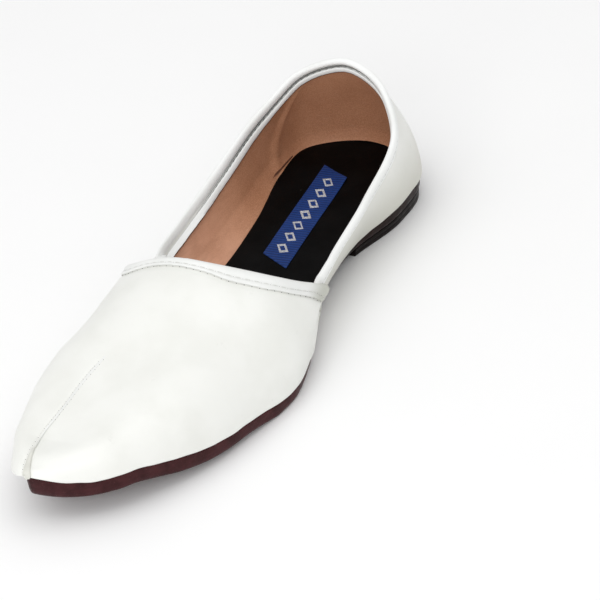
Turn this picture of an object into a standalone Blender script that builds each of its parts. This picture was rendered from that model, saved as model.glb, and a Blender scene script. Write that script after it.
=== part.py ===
"""Mojari for the left foot: a low slip-on leather shoe, standing empty on its sole.

The model is in metres, +Z up, with its origin on the floor under the middle of the shoe. The toe
points to -Y and the wearer's left is +X. The tables and the functions that read them are in
millimetres and degrees, and make_piece turns millimetres into metres.

A point on the upper has a side (+1 the wearer's left, -1 the right), a place along the shoe (0 at
the toe tip, 10 at the back of the heel, one whole number for each row of LAST) and a climb: 0 at the
feather line, where the upper meets the sole, 1 at the topline or the vamp's knuckle, 2 at the crest.
"""

import bpy
import bmesh
import numpy as np

MM = 0.001
LENGTH = 285.0  # of the feather line
WALL = 2.0  # upper leather with its lining
GAP = 0.3  # between pieces that touch
# Outsole, a row for each station: thickness, and how much further in its right side stands.
SOLE_COLUMNS = ("station", "thick", "in_right")
SOLE = (
    (0.00, 6.5, 0.0),
    (0.70, 6.5, 0.0),
    (0.80, 7.4, 0.0),
    (0.91, 7.9, 0.6),
    (0.96, 8.2, 2.0),
    (1.00, 9.4, 2.0),
)
SOLE_MEET = 0.3  # places from the toe tip over which the two sides meet
SOLE_EDGE = ((0.0, 0.65), (0.6, 0.88), (1.6, 1.0))  # inwards, and share of the thickness down
INSOLE = 1.8
INSOLE_EDGE = (0.5, 0.0, 0.1)  # its top edge, side and bottom edge, inside its outline
MARGIN = 9.0  # lasting margin, turned in under the foot
MARGIN_THICK = 1.2
MARGIN_SHARE = 0.7  # most of the way to the middle line that the margin may take
MARGIN_BEND = 0.2  # extra wall thickness where the margin turns in
INSOLE_CLEAR = 1.2  # between the insole's edge and the upper

# The last, a row for each cross-section from the back of the heel to the tip of the toe.
# station: share of the length. left, right: feather line's distance from the middle line.
# feather: its height. rise: topline or knuckle above it. in_left, in_right: how far the knuckle
# stands inside the feather line. low, high: degrees by which the wall's surface leaves its chord at
# the feather and at the knuckle. sole_in: outsole's edge inside the feather line.
COLUMNS = ("station", "left", "right", "feather", "rise", "in_left", "in_right", "low", "high", "sole_in")
LAST = (
    (0.00, 1.5, -1.5, 13.5, 53.5, 14.5, 14.5, 20.5, 11.5, 1.5),
    (0.05, 33.0, 30.0, 12.5, 46.5, 12.2, 9.5, 18.5, 10.0, 1.5),
    (0.14, 36.5, 33.0, 11.5, 36.5, -0.5, -0.5, 14.5, 9.0, 1.5),
    (0.27, 30.0, 28.0, 10.3, 26.5, -10.0, -10.5, 11.0, 9.0, 3.5),
    (0.41, 33.0, 25.5, 8.2, 22.0, -8.5, -13.0, 11.0, 12.5, 3.5),
    (0.54, 48.0, 34.0, 6.5, 20.0, -3.0, -8.0, 12.5, 16.5, 1.6),
    (0.65, 51.0, 42.0, 6.5, 19.5, 2.5, 0.0, 14.5, 19.5, 0.8),
    (0.75, 45.0, 43.5, 9.0, 20.5, 5.0, 2.5, 16.0, 23.0, 0.8),
    (0.85, 34.0, 39.0, 13.5, 17.5, 6.0, 4.0, 17.5, 26.5, 1.0),
    (0.93, 20.5, 32.0, 18.0, 12.5, 6.0, 5.0, 18.5, 29.0, 1.6),
    (1.00, -12.0, 12.0, 21.0, 7.0, 3.5, 3.5, 20.0, 32.0, 2.2),
)
# Slow changes beside the throat's corners and at the toe. station: share of the length. drawn_left,
# drawn_right: how much further in the knuckle stands. down_right: how much lower the right one is.
# up: how much higher the feather line is, with the knuckle left where it was.
SHAPE_COLUMNS = ("station", "drawn_left", "drawn_right", "down_right", "up")
SHAPE = (
    (0.400, 0.0, 0.0, 0.0, 0.0),
    (0.455, 2.6, 0.4, 1.1, 0.0),
    (0.480, 3.0, 1.4, 1.6, 0.0),
    (0.520, 1.8, 1.7, 1.1, 0.0),
    (0.600, 0.0, 0.0, 0.0, 0.0),
    (0.660, 0.0, 0.0, 0.0, 0.0),
    (0.720, 0.0, 0.0, 0.0, 0.8),
    (0.800, 0.0, 0.0, 0.0, 0.1),
    (0.900, 0.0, 0.0, 0.0, 1.5),
    (0.960, 0.0, 0.0, 0.0, 1.2),
    (1.000, 0.0, 0.0, 0.0, 3.4),
)
# Height of the crest, the vamp's highest line, and its distance to the left of the middle line.
CREST = ((0.45, 60.5), (0.53, 57.0), (0.60, 54.5), (0.68, 49.0), (0.77, 41.5), (0.86, 35.0), (0.93, 30.0))
CREST_LEFT = ((0.0, 0.0), (0.2, -1.0), (0.5, 4.0), (0.8, -12.0), (1.0, -16.5))

TOE_FAN = 12.0  # from the toe tip to the point where the sections fan out
HEEL_FAN = 39.0
FAN_SOFT = 5.0
WALL_PULL = 0.36  # handle lengths of the section's two curves, as shares of their chords
KNUCKLE_PULL = 0.30
CREST_PULL = 0.45

# The vamp's back edge: the throat over the instep, then a seam down each side.
SEAM = 0.455  # station of the side seams
THROAT = 0.578  # station where the throat crosses the crest
THROAT_POWER = {1: 2.0, -1: 3.8}  # how quickly the throat leaves the seam, for each side
SEAM_STEP = 0.04  # places between the vamp's edge and the quarters' first column
LAP = 0.8  # vamp's step over the quarters at the side seam
LAP_CORNER = {1: 3.2, -1: 0.4}  # and near the topline, for each side
LAP_PEAK = 0.95  # climb where that is reached, and the climb over which it falls off
LAP_SPREAD = 0.22
LAP_REACH = 0.25  # share of the vamp over which the step fades

# Width of the band along the vamp's back edge, for each side: climb, width.
BAND = {
    1: ((0.0, 3.0), (0.6, 3.2), (0.8, 6.0), (1.0, 10.2), (1.2, 8.0), (1.6, 7.4), (1.8, 6.2), (2.0, 4.8)),
    -1: ((0.0, 7.0), (1.0, 7.2), (1.3, 6.4), (1.6, 5.4), (2.0, 4.8)),
}
BAND_BACK = 0.5  # how far it stands over the vamp's edge at the back
BAND_THICK = 1.0
BAND_CROWN = 0.1  # how much its middle stands over its back edge and its front edge lies under
BAND_START = 0.05  # climb of its lower ends
BINDING_BACK = 1.6  # from the side seam to the end of the binding
BINDING_WALL = 1.0
BINDING_TOP = 1.9  # its height over the topline
BINDING_SIDE = 0.3  # height over the topline where its upright side ends and the roll begins
BINDING_ROLL = (0.5, 1.3)  # inwards and height of the roll's first facet
BINDING_FLAT = 1.5  # from its sides to its flat top
BINDING_OUTSIDE = 3.6
BINDING_INSIDE = 5.2

FOREFOOT = (0.65, 0.54)  # stations between which the sole is flat on the floor
HEEL_BREAST = 0.25  # station of the heel's front face
HEEL_TAPER = 1.0
HEEL_IN = 0.8  # heel's top edge inside the outsole's bottom edge

VAMP_COLUMNS = 27
QUARTER_COLUMNS = 22
SIDE_CLIMB = (0.0, 0.14, 0.33, 0.55, 0.78, 1.0)
TOP_CLIMB = (1.16, 1.34, 1.54, 1.76, 2.0)

last = {name: np.array(column, float) for name, column in zip(COLUMNS, zip(*LAST))}
shape = {name: np.array(column, float) for name, column in zip(SHAPE_COLUMNS, zip(*SHAPE))}
sole = {name: np.array(column, float) for name, column in zip(SOLE_COLUMNS, zip(*SOLE))}
HEEL_PLACE = len(LAST) - 1
ROUNDING = 1e-4


def smooth(knots, values, where, level=False):
    """Smooth curve through values at knots. A level one has no overshoot, so equal values stay flat."""
    knots = np.asarray(knots, float)
    values = np.asarray(values, float)
    where = np.clip(where, knots[0], knots[-1])
    gap = np.diff(knots)
    slope = np.diff(values) / gap
    if level:
        product = slope[:-1] * slope[1:]
        inner = np.where(product > 0, 2 * product / np.where(product > 0, slope[:-1] + slope[1:], 1), 0)
    else:
        inner = (slope[:-1] * gap[1:] + slope[1:] * gap[:-1]) / (gap[1:] + gap[:-1])
    lean = np.concatenate([slope[:1], inner, slope[-1:]])
    i = np.clip(np.searchsorted(knots, where, side="right") - 1, 0, len(knots) - 2)
    t = (where - knots[i]) / gap[i]
    start = (2 * t**3 - 3 * t**2 + 1) * values[i] + (t**3 - 2 * t**2 + t) * gap[i] * lean[i]
    return start + (3 * t**2 - 2 * t**3) * values[i + 1] + (t**3 - t**2) * gap[i] * lean[i + 1]


def feather_knots():
    """Closed loop of the feather line's knots from the toe tip by the left side, and their spacing."""
    y = LENGTH / 2 - LENGTH * last["station"]
    toe_to_heel = slice(None, None, -1)
    left = np.column_stack([last["left"], y])[toe_to_heel]
    right = np.column_stack([-last["right"], y])[1:-1]
    mean = np.column_stack([(last["left"] + last["right"]) / 2, y])[toe_to_heel]
    step = np.linalg.norm(np.diff(mean, axis=0), axis=1) ** 0.7
    return np.vstack([left, right]), np.concatenate([step, step[::-1]])


def feather(side, place):
    """Plan position of the feather line."""
    knots, step = feather_knots()
    count = len(knots)
    along = np.where(side > 0, place, count - place) % count
    i = np.floor(along).astype(int)
    t = (along - i)[..., None]
    before, start, end, after = (knots[(i + k) % count] for k in (-1, 0, 1, 2))
    d0, d1, d2 = (step[(i + k) % count][..., None] for k in (-1, 0, 1))
    lean1 = ((start - before) / d0 * d1 + (end - start) / d1 * d0) / (d0 + d1) * d1
    lean2 = ((end - start) / d1 * d2 + (after - end) / d2 * d1) / (d1 + d2) * d1
    near = (2 * t**3 - 3 * t**2 + 1) * start + (t**3 - 2 * t**2 + t) * lean1
    return near + (3 * t**2 - 2 * t**3) * end + (t**3 - t**2) * lean2


def station_of(place):
    return 0.5 - feather(1, place)[..., 1] / LENGTH


def place_of(station):
    """Inverse of station_of."""
    places = np.linspace(0, HEEL_PLACE, 400)
    return np.interp(station, station_of(places)[::-1], places[::-1])


def spine(place):
    """Plan position that a section's rib grows towards. It stops short of the toe and the heel."""
    y = feather(1, place)[..., 1]
    low = TOE_FAN - LENGTH / 2
    high = LENGTH / 2 - HEEL_FAN
    y = low + FAN_SOFT * np.logaddexp(0, (y - low) / FAN_SOFT)
    y = high - FAN_SOFT * np.logaddexp(0, (high - y) / FAN_SOFT)
    station = 0.5 - y / LENGTH
    return np.stack([smooth(*zip(*CREST_LEFT), station), y], axis=-1), station


def outward(side, place):
    """Feather point in plan, level unit vector out of the shoe, and station."""
    edge = feather(side, place)
    centre, _ = spine(place)
    out = edge - centre
    return edge, out / np.linalg.norm(out, axis=-1)[..., None], station_of(place)


def column(name, station):
    return smooth(last["station"], last[name], station)


def change(name, station):
    return smooth(shape["station"], shape[name], station, level=True)


def seat(plan):
    """Height of the feather line's level surface, on which the foot rests, over a plan position."""
    station = 0.5 - plan[..., 1] / LENGTH
    return smooth(last["station"], last["feather"], station, level=True) + change("up", station)


def sole_depth(plan):
    """Thickness of the outsole under a plan position. It stops at the floor."""
    depth = smooth(sole["station"], sole["thick"], 0.5 - plan[..., 1] / LENGTH, level=True)
    return np.minimum(depth, seat(plan))


def lift(plan, height):
    return np.concatenate([plan, np.asarray(height)[..., None]], axis=-1)


def bezier(p0, p1, p2, p3, t):
    t = t[..., None]
    return (1 - t) ** 3 * p0 + 3 * t * (1 - t) ** 2 * p1 + 3 * t**2 * (1 - t) * p2 + t**3 * p3


def skin(side, place, climb):
    """Point on the upper's outer surface, before the vamp's lap."""
    side, place, climb = np.broadcast_arrays(*(np.asarray(v, float) for v in (side, place, climb)))
    edge, out, station = outward(side, place)
    centre, crest_station = spine(place)
    foot_z = seat(edge)
    rise = column("rise", station) - change("up", station)
    rise = rise - np.where(side > 0, 0, change("down_right", station))
    left = column("in_left", station) + change("drawn_left", station)
    right = column("in_right", station) + change("drawn_right", station)
    inside = np.where(side > 0, left, right)
    foot = lift(edge, foot_z)
    knuckle = lift(edge - out * inside[..., None], foot_z + rise)
    crest = lift(centre, smooth(*zip(*CREST), crest_station))
    chord = np.arctan2(-inside, rise)
    lean_low = chord + np.radians(column("low", station))
    lean_high = chord - np.radians(column("high", station))
    level_out = lift(out, np.zeros(out.shape[:-1]))
    up_low = level_out * np.sin(lean_low)[..., None] + lift(0 * out, np.cos(lean_low))
    up_high = level_out * np.sin(lean_high)[..., None] + lift(0 * out, np.cos(lean_high))
    wall = np.linalg.norm(knuckle - foot, axis=-1)[..., None]
    top = np.linalg.norm(crest - knuckle, axis=-1)[..., None]
    low = bezier(foot, foot + up_low * wall * WALL_PULL, knuckle - up_high * wall * WALL_PULL, knuckle, climb)
    over_knuckle = knuckle + up_high * top * KNUCKLE_PULL
    beside_crest = crest + level_out * top * CREST_PULL
    high = bezier(knuckle, over_knuckle, beside_crest, crest, climb - 1)
    return np.where((climb <= 1)[..., None], low, high)


def skin_normal(side, place, climb):
    """Unit normal of the skin, pointing out of the shoe."""
    step = 0.02
    climb = np.clip(climb, 0, 2 - 2 * step)
    along = skin(side, place + step, climb) - skin(side, place - step, climb)
    up = skin(side, place, climb + step) - skin(side, place, np.maximum(climb - step, 0))
    normal = np.cross(along, up) * np.asarray(side, float)[..., None]
    return normal / np.linalg.norm(normal, axis=-1)[..., None]


def throat_place(side, climb):
    """Place of the vamp's back edge: the side seam up to the knuckle, and the throat above it."""
    over = np.clip(np.asarray(climb, float) - 1, 0, 1)
    power = np.where(np.asarray(side) > 0, THROAT_POWER[1], THROAT_POWER[-1])
    return place_of(SEAM + (THROAT - SEAM) * (1 - (1 - over) ** power))


def lap(side, share, climb):
    """How far the vamp stands over the quarters. share is 1 at its back edge and 0 at the toe."""
    fade = np.clip((share - 1 + LAP_REACH) / LAP_REACH, 0, 1) ** 2
    corner = np.exp(-(((climb - LAP_PEAK) / LAP_SPREAD) ** 2))
    most = np.where(np.asarray(side) > 0, LAP_CORNER[1], LAP_CORNER[-1])
    return fade * (LAP + (most - LAP) * corner)


def quarter_places():
    """Places of the quarters' columns, from just behind the side seam to the back of the heel."""
    return np.linspace(place_of(SEAM) + SEAM_STEP, HEEL_PLACE, QUARTER_COLUMNS + 1)


def upper_sheet():
    """Sides, places, climbs and laps of the upper's points, and its outer faces."""
    climbs = SIDE_CLIMB + TOP_CLIMB
    quarter = quarter_places()
    last_column = VAMP_COLUMNS + 1 + QUARTER_COLUMNS
    points = {}
    rows = []

    def vertex(side, col, row):
        shared = col in (0, last_column) or row == len(climbs) - 1
        key = (1 if shared else side, col, row)
        if key not in points:
            points[key] = len(rows)
            on_vamp = col <= VAMP_COLUMNS
            share = col / VAMP_COLUMNS
            if on_vamp:
                place = throat_place(key[0], climbs[row]) * share
            else:
                place = quarter[col - VAMP_COLUMNS - 1]
            rows.append((key[0], place, climbs[row], float(lap(key[0], share, climbs[row])) if on_vamp else 0.0))
        return points[key]

    faces = []
    for side in (1, -1):
        for col in range(last_column):
            on_vamp = col < VAMP_COLUMNS
            for row in range(len(climbs) - 1 if on_vamp else len(SIDE_CLIMB) - 1):
                corners = [(col, row), (col + 1, row), (col + 1, row + 1), (col, row + 1)]
                face = [vertex(side, *corner) for corner in corners]
                faces.append(face if side > 0 else face[::-1])
    bottom = {index for (_, _, row), index in points.items() if row == 0}
    return np.array(rows, float), faces, bottom


def make_upper(material):
    """One hollow shell: outer skin, inner skin, the rim between them and the lasting margin."""
    rows, faces, bottom = upper_sheet()
    side, place, climb, stand = rows.T
    normal = skin_normal(side, place, climb)
    base = skin(side, place, climb)
    outer = base + normal * stand[:, None]
    inner = base - normal * WALL
    edge, out, _ = outward(side, place)
    foot = sorted(bottom)
    outer[foot, 2] = base[foot, 2]
    inner[foot, :2] = edge[foot] - out[foot] * (WALL + MARGIN_BEND)
    inner[foot, 2] = seat(inner[foot]) + MARGIN_THICK
    centre, _ = spine(place[foot])
    reach = np.minimum(MARGIN, MARGIN_SHARE * np.linalg.norm(edge[foot] - centre, axis=1))
    turned = edge[foot] - out[foot] * reach[:, None]
    margin_low = lift(turned, seat(turned))
    margin_high = lift(turned, seat(turned) + MARGIN_THICK)
    points = np.vstack([outer, inner, margin_low, margin_high])
    count = len(outer)
    low = {index: 2 * count + k for k, index in enumerate(foot)}
    high = {index: 2 * count + len(foot) + k for k, index in enumerate(foot)}
    solid = list(faces) + [[index + count for index in face[::-1]] for face in faces]
    for a, b in rim_edges(faces):
        if a in bottom and b in bottom:
            solid.append([b, a, low[a], low[b]])
            solid.append([low[b], low[a], high[a], high[b]])
            solid.append([high[b], high[a], a + count, b + count])
        else:
            solid.append([b, a, a + count, b + count])
    return make_piece("upper", points, solid, material, smooth_angle=50), outer


def rim_edges(faces):
    """Directed edges that only one face uses."""
    edges = {(a, b) for face in faces for a, b in zip(face, face[1:] + face[:1])}
    return sorted(edge for edge in edges if edge[::-1] not in edges)


def sweep(sections):
    """Faces of a tube through equal rings of points, with end caps."""
    count, ring = sections.shape[:2]
    faces = [list(range(ring))[::-1], [(count - 1) * ring + j for j in range(ring)]]
    for i in range(count - 1):
        for j in range(ring):
            k = (j + 1) % ring
            faces.append([i * ring + j, i * ring + k, (i + 1) * ring + k, (i + 1) * ring + j])
    return faces


def make_throat_band(material):
    """Folded strip on the vamp's back edge, from one side's feather over the instep to the other's."""
    climbs = (BAND_START,) + SIDE_CLIMB[1:] + TOP_CLIMB
    path = [(1, climb) for climb in climbs] + [(-1, climb) for climb in climbs[-2::-1]]
    side = np.array([row[0] for row in path], float)
    climb = np.array([row[1] for row in path])
    back = throat_place(side, climb)
    short = 0.05
    width = np.linalg.norm(skin(side, back, climb) - skin(side, back * (1 - short), climb), axis=1)
    broad = np.where(side > 0, smooth(*zip(*BAND[1]), climb), smooth(*zip(*BAND[-1]), climb))
    ring = (
        (0.0, 0.0),
        (0.0, BAND_THICK),
        (0.5, BAND_THICK + BAND_CROWN),
        (1.0, BAND_THICK - BAND_CROWN),
        (1.0, 0.0),
        (0.5, 0.0),
    )
    sections = []
    for forward, out in ring:
        share = 1 - short * (broad * forward - BAND_BACK * (1 - forward)) / width
        place = back * share
        stand = lap(side, np.minimum(share, 1), climb) + GAP + out
        sections.append(skin(side, place, climb) + skin_normal(side, place, climb) * stand[:, None])
    sections = np.stack(sections, axis=1)
    return make_piece("throat_band", sections.reshape(-1, 3), sweep(sections), material, smooth_angle=50)


def make_collar_binding(material):
    """Rolled strip over the quarters' topline, with a slot that clears the wall."""
    quarter = quarter_places()
    first = place_of(SEAM - BINDING_BACK / LENGTH)
    half = np.concatenate([[first], quarter[quarter > first + 0.05]])
    side = np.concatenate([np.ones(len(half)), -np.ones(len(half) - 1)])
    place = np.concatenate([half, half[-2::-1]])
    climb = np.ones(len(place))
    top = skin(side, place, climb)
    out = skin_normal(side, place, climb)
    up = top - skin(side, place, climb - 0.02)
    up /= np.linalg.norm(up, axis=1)[:, None]
    slot = -WALL - 2 * GAP
    outside = GAP + BINDING_WALL
    inside = slot - BINDING_WALL
    roll_in, roll_up = BINDING_ROLL
    ring = [
        (outside, -BINDING_OUTSIDE),
        (outside, BINDING_SIDE),
        (outside - roll_in, roll_up),
        (outside - BINDING_FLAT, BINDING_TOP),
        (inside + BINDING_FLAT, BINDING_TOP),
        (inside + roll_in, roll_up),
        (inside, BINDING_SIDE),
        (inside - GAP, -BINDING_INSIDE),
        (slot - GAP, -BINDING_INSIDE),
        (slot, GAP),
        (GAP, GAP),
        (GAP, -BINDING_OUTSIDE),
    ]
    sections = np.stack([top + out * a + up * b for a, b in ring], axis=1)
    return make_piece("collar_binding", sections.reshape(-1, 3), sweep(sections), material, smooth_angle=50)


def bed(places, rings, flat=(0.0, 0.0)):
    """A sole from rings of its edge, each a distance inside the feather line and a height.

    The distance has a value for each place, or a row of them for each side. The height over the
    seat is a number, or a function of the plan positions, or None for the floor. Ring 0 is the top
    edge and the last one the bottom edge. flat is a pair of stations between which the bottom is
    one face.
    """
    sides = []
    for s, side in enumerate((1, -1)):
        edge, out, _ = outward(np.full(len(places), float(side)), places)
        sides.append([])
        for inside, height in rings:
            plan = edge - out * np.broadcast_to(inside, (2, len(places)))[s][:, None]
            over = height(plan) if callable(height) else height
            sides[s].append(lift(plan, np.zeros(len(plan)) if height is None else seat(plan) + over))
    count = len(places)
    start = 1 if places[0] == 0 else 0
    end = count - 1 if places[-1] == HEEL_PLACE else count
    points = []
    index = {}
    for ring in range(len(rings)):
        for k in range(count):
            for s in (0, 1):
                if s == 1 and not start <= k < end:
                    index[1, ring, k] = index[0, ring, k]
                else:
                    index[s, ring, k] = len(points)
                    points.append(sides[s][ring][k])
    faces = []
    low = len(rings) - 1

    def quad(*corners):
        faces.append([index[corner] for corner in corners])

    for k in range(count - 1):
        n = k + 1
        quad((0, 0, k), (0, 0, n), (1, 0, n), (1, 0, k))
        for r in range(low):
            quad((0, r, k), (0, r + 1, k), (0, r + 1, n), (0, r, n))
            quad((1, r, n), (1, r + 1, n), (1, r + 1, k), (1, r, k))
    for r in range(low):
        if start == 0:
            quad((0, r, 0), (1, r, 0), (1, r + 1, 0), (0, r + 1, 0))
        if end == count:
            k = count - 1
            quad((1, r, k), (0, r, k), (0, r + 1, k), (1, r + 1, k))
    station = station_of(places)
    level = np.flatnonzero((station >= min(flat) - ROUNDING) & (station <= max(flat) + ROUNDING))
    cuts = [k for k in range(count) if k not in level[1:-1]]
    for near, far in zip(cuts, cuts[1:]):
        left = [index[0, low, k] for k in range(near, far + 1)]
        right = [index[1, low, k] for k in range(near, far + 1)]
        faces.append(left[::-1] + right)
    return np.array(points), [list(dict.fromkeys(face)) for face in faces]


def sole_places():
    """Places of the sole's cross-sections, with one on each end of its flat spot."""
    spots = place_of(np.array([*FOREFOOT, HEEL_BREAST]))
    ends = np.concatenate([[0], spots, [HEEL_PLACE]])
    steps = (22, 4, 10, 16)
    parts = [np.linspace(a, b, n, endpoint=False) for a, b, n in zip(ends, ends[1:], steps)]
    return np.concatenate(parts + [ends[-1:]])


def make_outsole(material):
    places = sole_places()
    station = station_of(places)
    further = smooth(sole["station"], sole["in_right"], station, level=True)
    further *= np.clip(places / SOLE_MEET, 0, 1)
    inside = column("sole_in", station) + np.stack([0 * further, further])
    rings = [(inside, -GAP)]
    for inwards, share in SOLE_EDGE:
        rings.append((inside + inwards, lambda plan, share=share: -share * sole_depth(plan)))
    points, faces = bed(places, rings, flat=FOREFOOT)
    return make_piece("outsole", points, faces, material, smooth_angle=40)


def wall_inside(places, height):
    """How far the upper's inner face comes inside the feather line, up to a height over it."""
    climbs = np.linspace(0, 1.3, 27)
    reach = []
    for side in (1, -1):
        edge, out, _ = outward(np.full(len(places), float(side)), places)
        place, climb = np.meshgrid(places, climbs, indexing="ij")
        face = skin(side, place, climb) - skin_normal(np.full(place.shape, float(side)), place, climb) * WALL
        inside = ((edge[:, None] - face[..., :2]) * out[:, None]).sum(axis=-1)
        below = face[..., 2] <= seat(face) + height
        reach.append(np.where(below, inside, 0).max(axis=1))
    return np.array(reach)


def make_insole(material):
    places = sole_places()
    under = MARGIN_THICK + GAP
    inside = wall_inside(places, under + INSOLE + INSOLE_CLEAR) + INSOLE_CLEAR
    heights = (under + INSOLE, under + INSOLE / 2, under)
    rings = [(inside + inwards, height) for inwards, height in zip(INSOLE_EDGE, heights)]
    points, faces = bed(places, rings)
    return make_piece("insole", points, faces, material, smooth_angle=40)


def make_heel(material):
    places = np.linspace(place_of(HEEL_BREAST), HEEL_PLACE, 17)
    inside = column("sole_in", station_of(places)) + HEEL_IN
    rings = ((inside, lambda plan: -sole_depth(plan) - GAP), (inside + HEEL_TAPER, None))
    points, faces = bed(places, rings, flat=(0.0, HEEL_BREAST))
    return make_piece("heel", points, faces, material, smooth_angle=40)


def leather(name, colour, roughness):
    material = bpy.data.materials.new(name)
    material.use_nodes = True
    shader = material.node_tree.nodes["Principled BSDF"]
    shader.inputs["Base Color"].default_value = (*colour, 1.0)
    shader.inputs["Roughness"].default_value = roughness
    shader.inputs["Metallic"].default_value = 0.0
    return material


def make_piece(name, points, faces, material, smooth_angle):
    """An object from points in millimetres."""
    mesh = bpy.data.meshes.new(name)
    mesh.from_pydata([tuple(point) for point in np.asarray(points) * MM], [], faces)
    shape = bmesh.new()
    shape.from_mesh(mesh)
    bmesh.ops.recalc_face_normals(shape, faces=shape.faces)
    shape.to_mesh(mesh)
    shape.free()
    mesh.shade_smooth()
    mesh.set_sharp_from_angle(angle=np.radians(smooth_angle))
    mesh.materials.append(material)
    piece = bpy.data.objects.new(name, mesh)
    bpy.context.scene.collection.objects.link(piece)
    return piece


def build():
    for thing in list(bpy.data.objects):
        bpy.data.objects.remove(thing, do_unlink=True)
    white = leather("white leather", (0.90, 0.90, 0.87), 0.42)
    edge = leather("white edge leather", (0.86, 0.87, 0.85), 0.45)
    black = leather("black sock leather", (0.006, 0.006, 0.007), 0.5)
    brown = leather("dark brown sole leather", (0.045, 0.016, 0.017), 0.4)
    dark = leather("darker heel leather", (0.016, 0.009, 0.009), 0.45)
    upper, outer = make_upper(white)
    pieces = [
        upper,
        make_throat_band(edge),
        make_collar_binding(edge),
        make_insole(black),
        make_outsole(brown),
        make_heel(dark),
    ]
    middle = (outer.min(axis=0) + outer.max(axis=0)) / 2 * MM
    shoe = bpy.data.objects.new("shoe", None)
    bpy.context.scene.collection.objects.link(shoe)
    shoe.location = (-middle[0], -middle[1], 0.0)
    for piece in pieces:
        piece.parent = shoe


build()
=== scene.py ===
"""Looks of the left mojari: leather, lining, folded edges, thread, woven label and sole.

Lengths in the tables and in the shape functions are millimetres, measured from the middle of the
feather line on the floor. make_piece turns them into metres in the shared frame.
The toe points to -Y and the wearer's left is +X. A side is 1 on the left and -1 on the right, a
station runs from 0 at the heel to 1 at the toe, and a place from 0 at the toe to HEEL_PLACE.
"""

import bmesh
import bpy
import numpy as np
from mathutils import Matrix, Vector, noise
from mathutils.bvhtree import BVHTree


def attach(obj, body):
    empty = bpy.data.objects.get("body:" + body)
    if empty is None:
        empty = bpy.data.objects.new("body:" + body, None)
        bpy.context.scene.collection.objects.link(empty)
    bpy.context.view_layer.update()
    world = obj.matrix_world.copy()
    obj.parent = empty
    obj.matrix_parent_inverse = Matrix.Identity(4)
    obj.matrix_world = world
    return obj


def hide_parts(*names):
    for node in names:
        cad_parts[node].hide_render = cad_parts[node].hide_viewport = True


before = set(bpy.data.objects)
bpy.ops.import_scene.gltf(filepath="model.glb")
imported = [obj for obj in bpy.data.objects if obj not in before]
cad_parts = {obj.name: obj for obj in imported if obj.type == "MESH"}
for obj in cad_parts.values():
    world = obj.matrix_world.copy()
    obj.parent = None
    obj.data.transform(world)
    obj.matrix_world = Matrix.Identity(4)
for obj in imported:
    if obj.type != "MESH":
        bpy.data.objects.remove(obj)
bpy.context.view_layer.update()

MM = 0.001
CENTRE = np.array([-3.9, -0.1, 0.0])  # from the feather line's middle to the shared frame

# ---- small tools for numbers


def hermite(t, start, leaving, end, arriving):
    """Cubic from start to end as t goes from 0 to 1, with its slope at both ends."""
    first = (2 * t**3 - 3 * t**2 + 1) * start + (t**3 - 2 * t**2 + t) * leaving
    return first + (3 * t**2 - 2 * t**3) * end + (t**3 - t**2) * arriving


def smooth(knots, values, where, level=False):
    """Smooth curve through values at knots. A level one has no overshoot, so equal values stay flat."""
    where = np.clip(where, knots[0], knots[-1])
    gap = np.diff(knots)
    slope = np.diff(values) / gap
    if level:
        product = slope[:-1] * slope[1:]
        inner = np.where(product > 0, 2 * product / np.where(product > 0, slope[:-1] + slope[1:], 1), 0)
    else:
        inner = (slope[:-1] * gap[1:] + slope[1:] * gap[:-1]) / (gap[1:] + gap[:-1])
    lean = np.concatenate([slope[:1], inner, slope[-1:]])
    i = np.clip(np.searchsorted(knots, where, side="right") - 1, 0, len(knots) - 2)
    t, start, end = (where - knots[i]) / gap[i], values[i], values[i + 1]
    return hermite(t, start, gap[i] * lean[i], end, gap[i] * lean[i + 1])


def curve(table, where, column=1, level=False):
    """Smooth curve through a column of a table whose first column holds the knots."""
    knots, values = np.array(table, float)[:, [0, column]].T
    return smooth(knots, values, where, level)


def runs(start, *parts):
    """Values from start on, in even steps up to each part's end, with its number of values."""
    values = [np.array([start])]
    for end, count in parts:
        values.append(np.linspace(start, end, count)[1:])
        start = end
    return np.concatenate(values)


def by_side(side, left, right):
    return np.where(np.asarray(side) > 0, left, right)


def hump(value, middle, width):
    """1 at the middle, falling to 0 on both sides of it."""
    return np.exp(-(((value - middle) / width) ** 2))


def step_up(low, high, value):
    """0 under low, 1 over high, smooth between."""
    t = np.clip((value - low) / (high - low), 0, 1)
    return t * t * (3 - 2 * t)


def unit(vectors):
    return vectors / np.linalg.norm(vectors, axis=-1)[..., None]


def length_along(points):
    return np.concatenate([[0], np.cumsum(np.linalg.norm(np.diff(points, axis=0), axis=1))])


def at(where, along, values):
    """Points or vectors given at distances along a line, read at other distances."""
    return np.stack([np.interp(where, along, values[:, k]) for k in range(3)], axis=-1)


def ripple(points, size, seed):
    """Smooth irregular values from about -1 to 1, with bumps of that size in millimetres."""
    shift = Vector((seed * 7.3, seed * 3.1, seed * 5.7))
    return np.array([noise.noise(Vector(p) / size + shift) for p in np.asarray(points).reshape(-1, 3)])


def wavy(along, size, seed):
    """Ripple at distances along a line."""
    return ripple(np.column_stack([along, 0 * along, 0 * along]), size, seed)


# ---- the last, as in the CAD part

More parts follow.
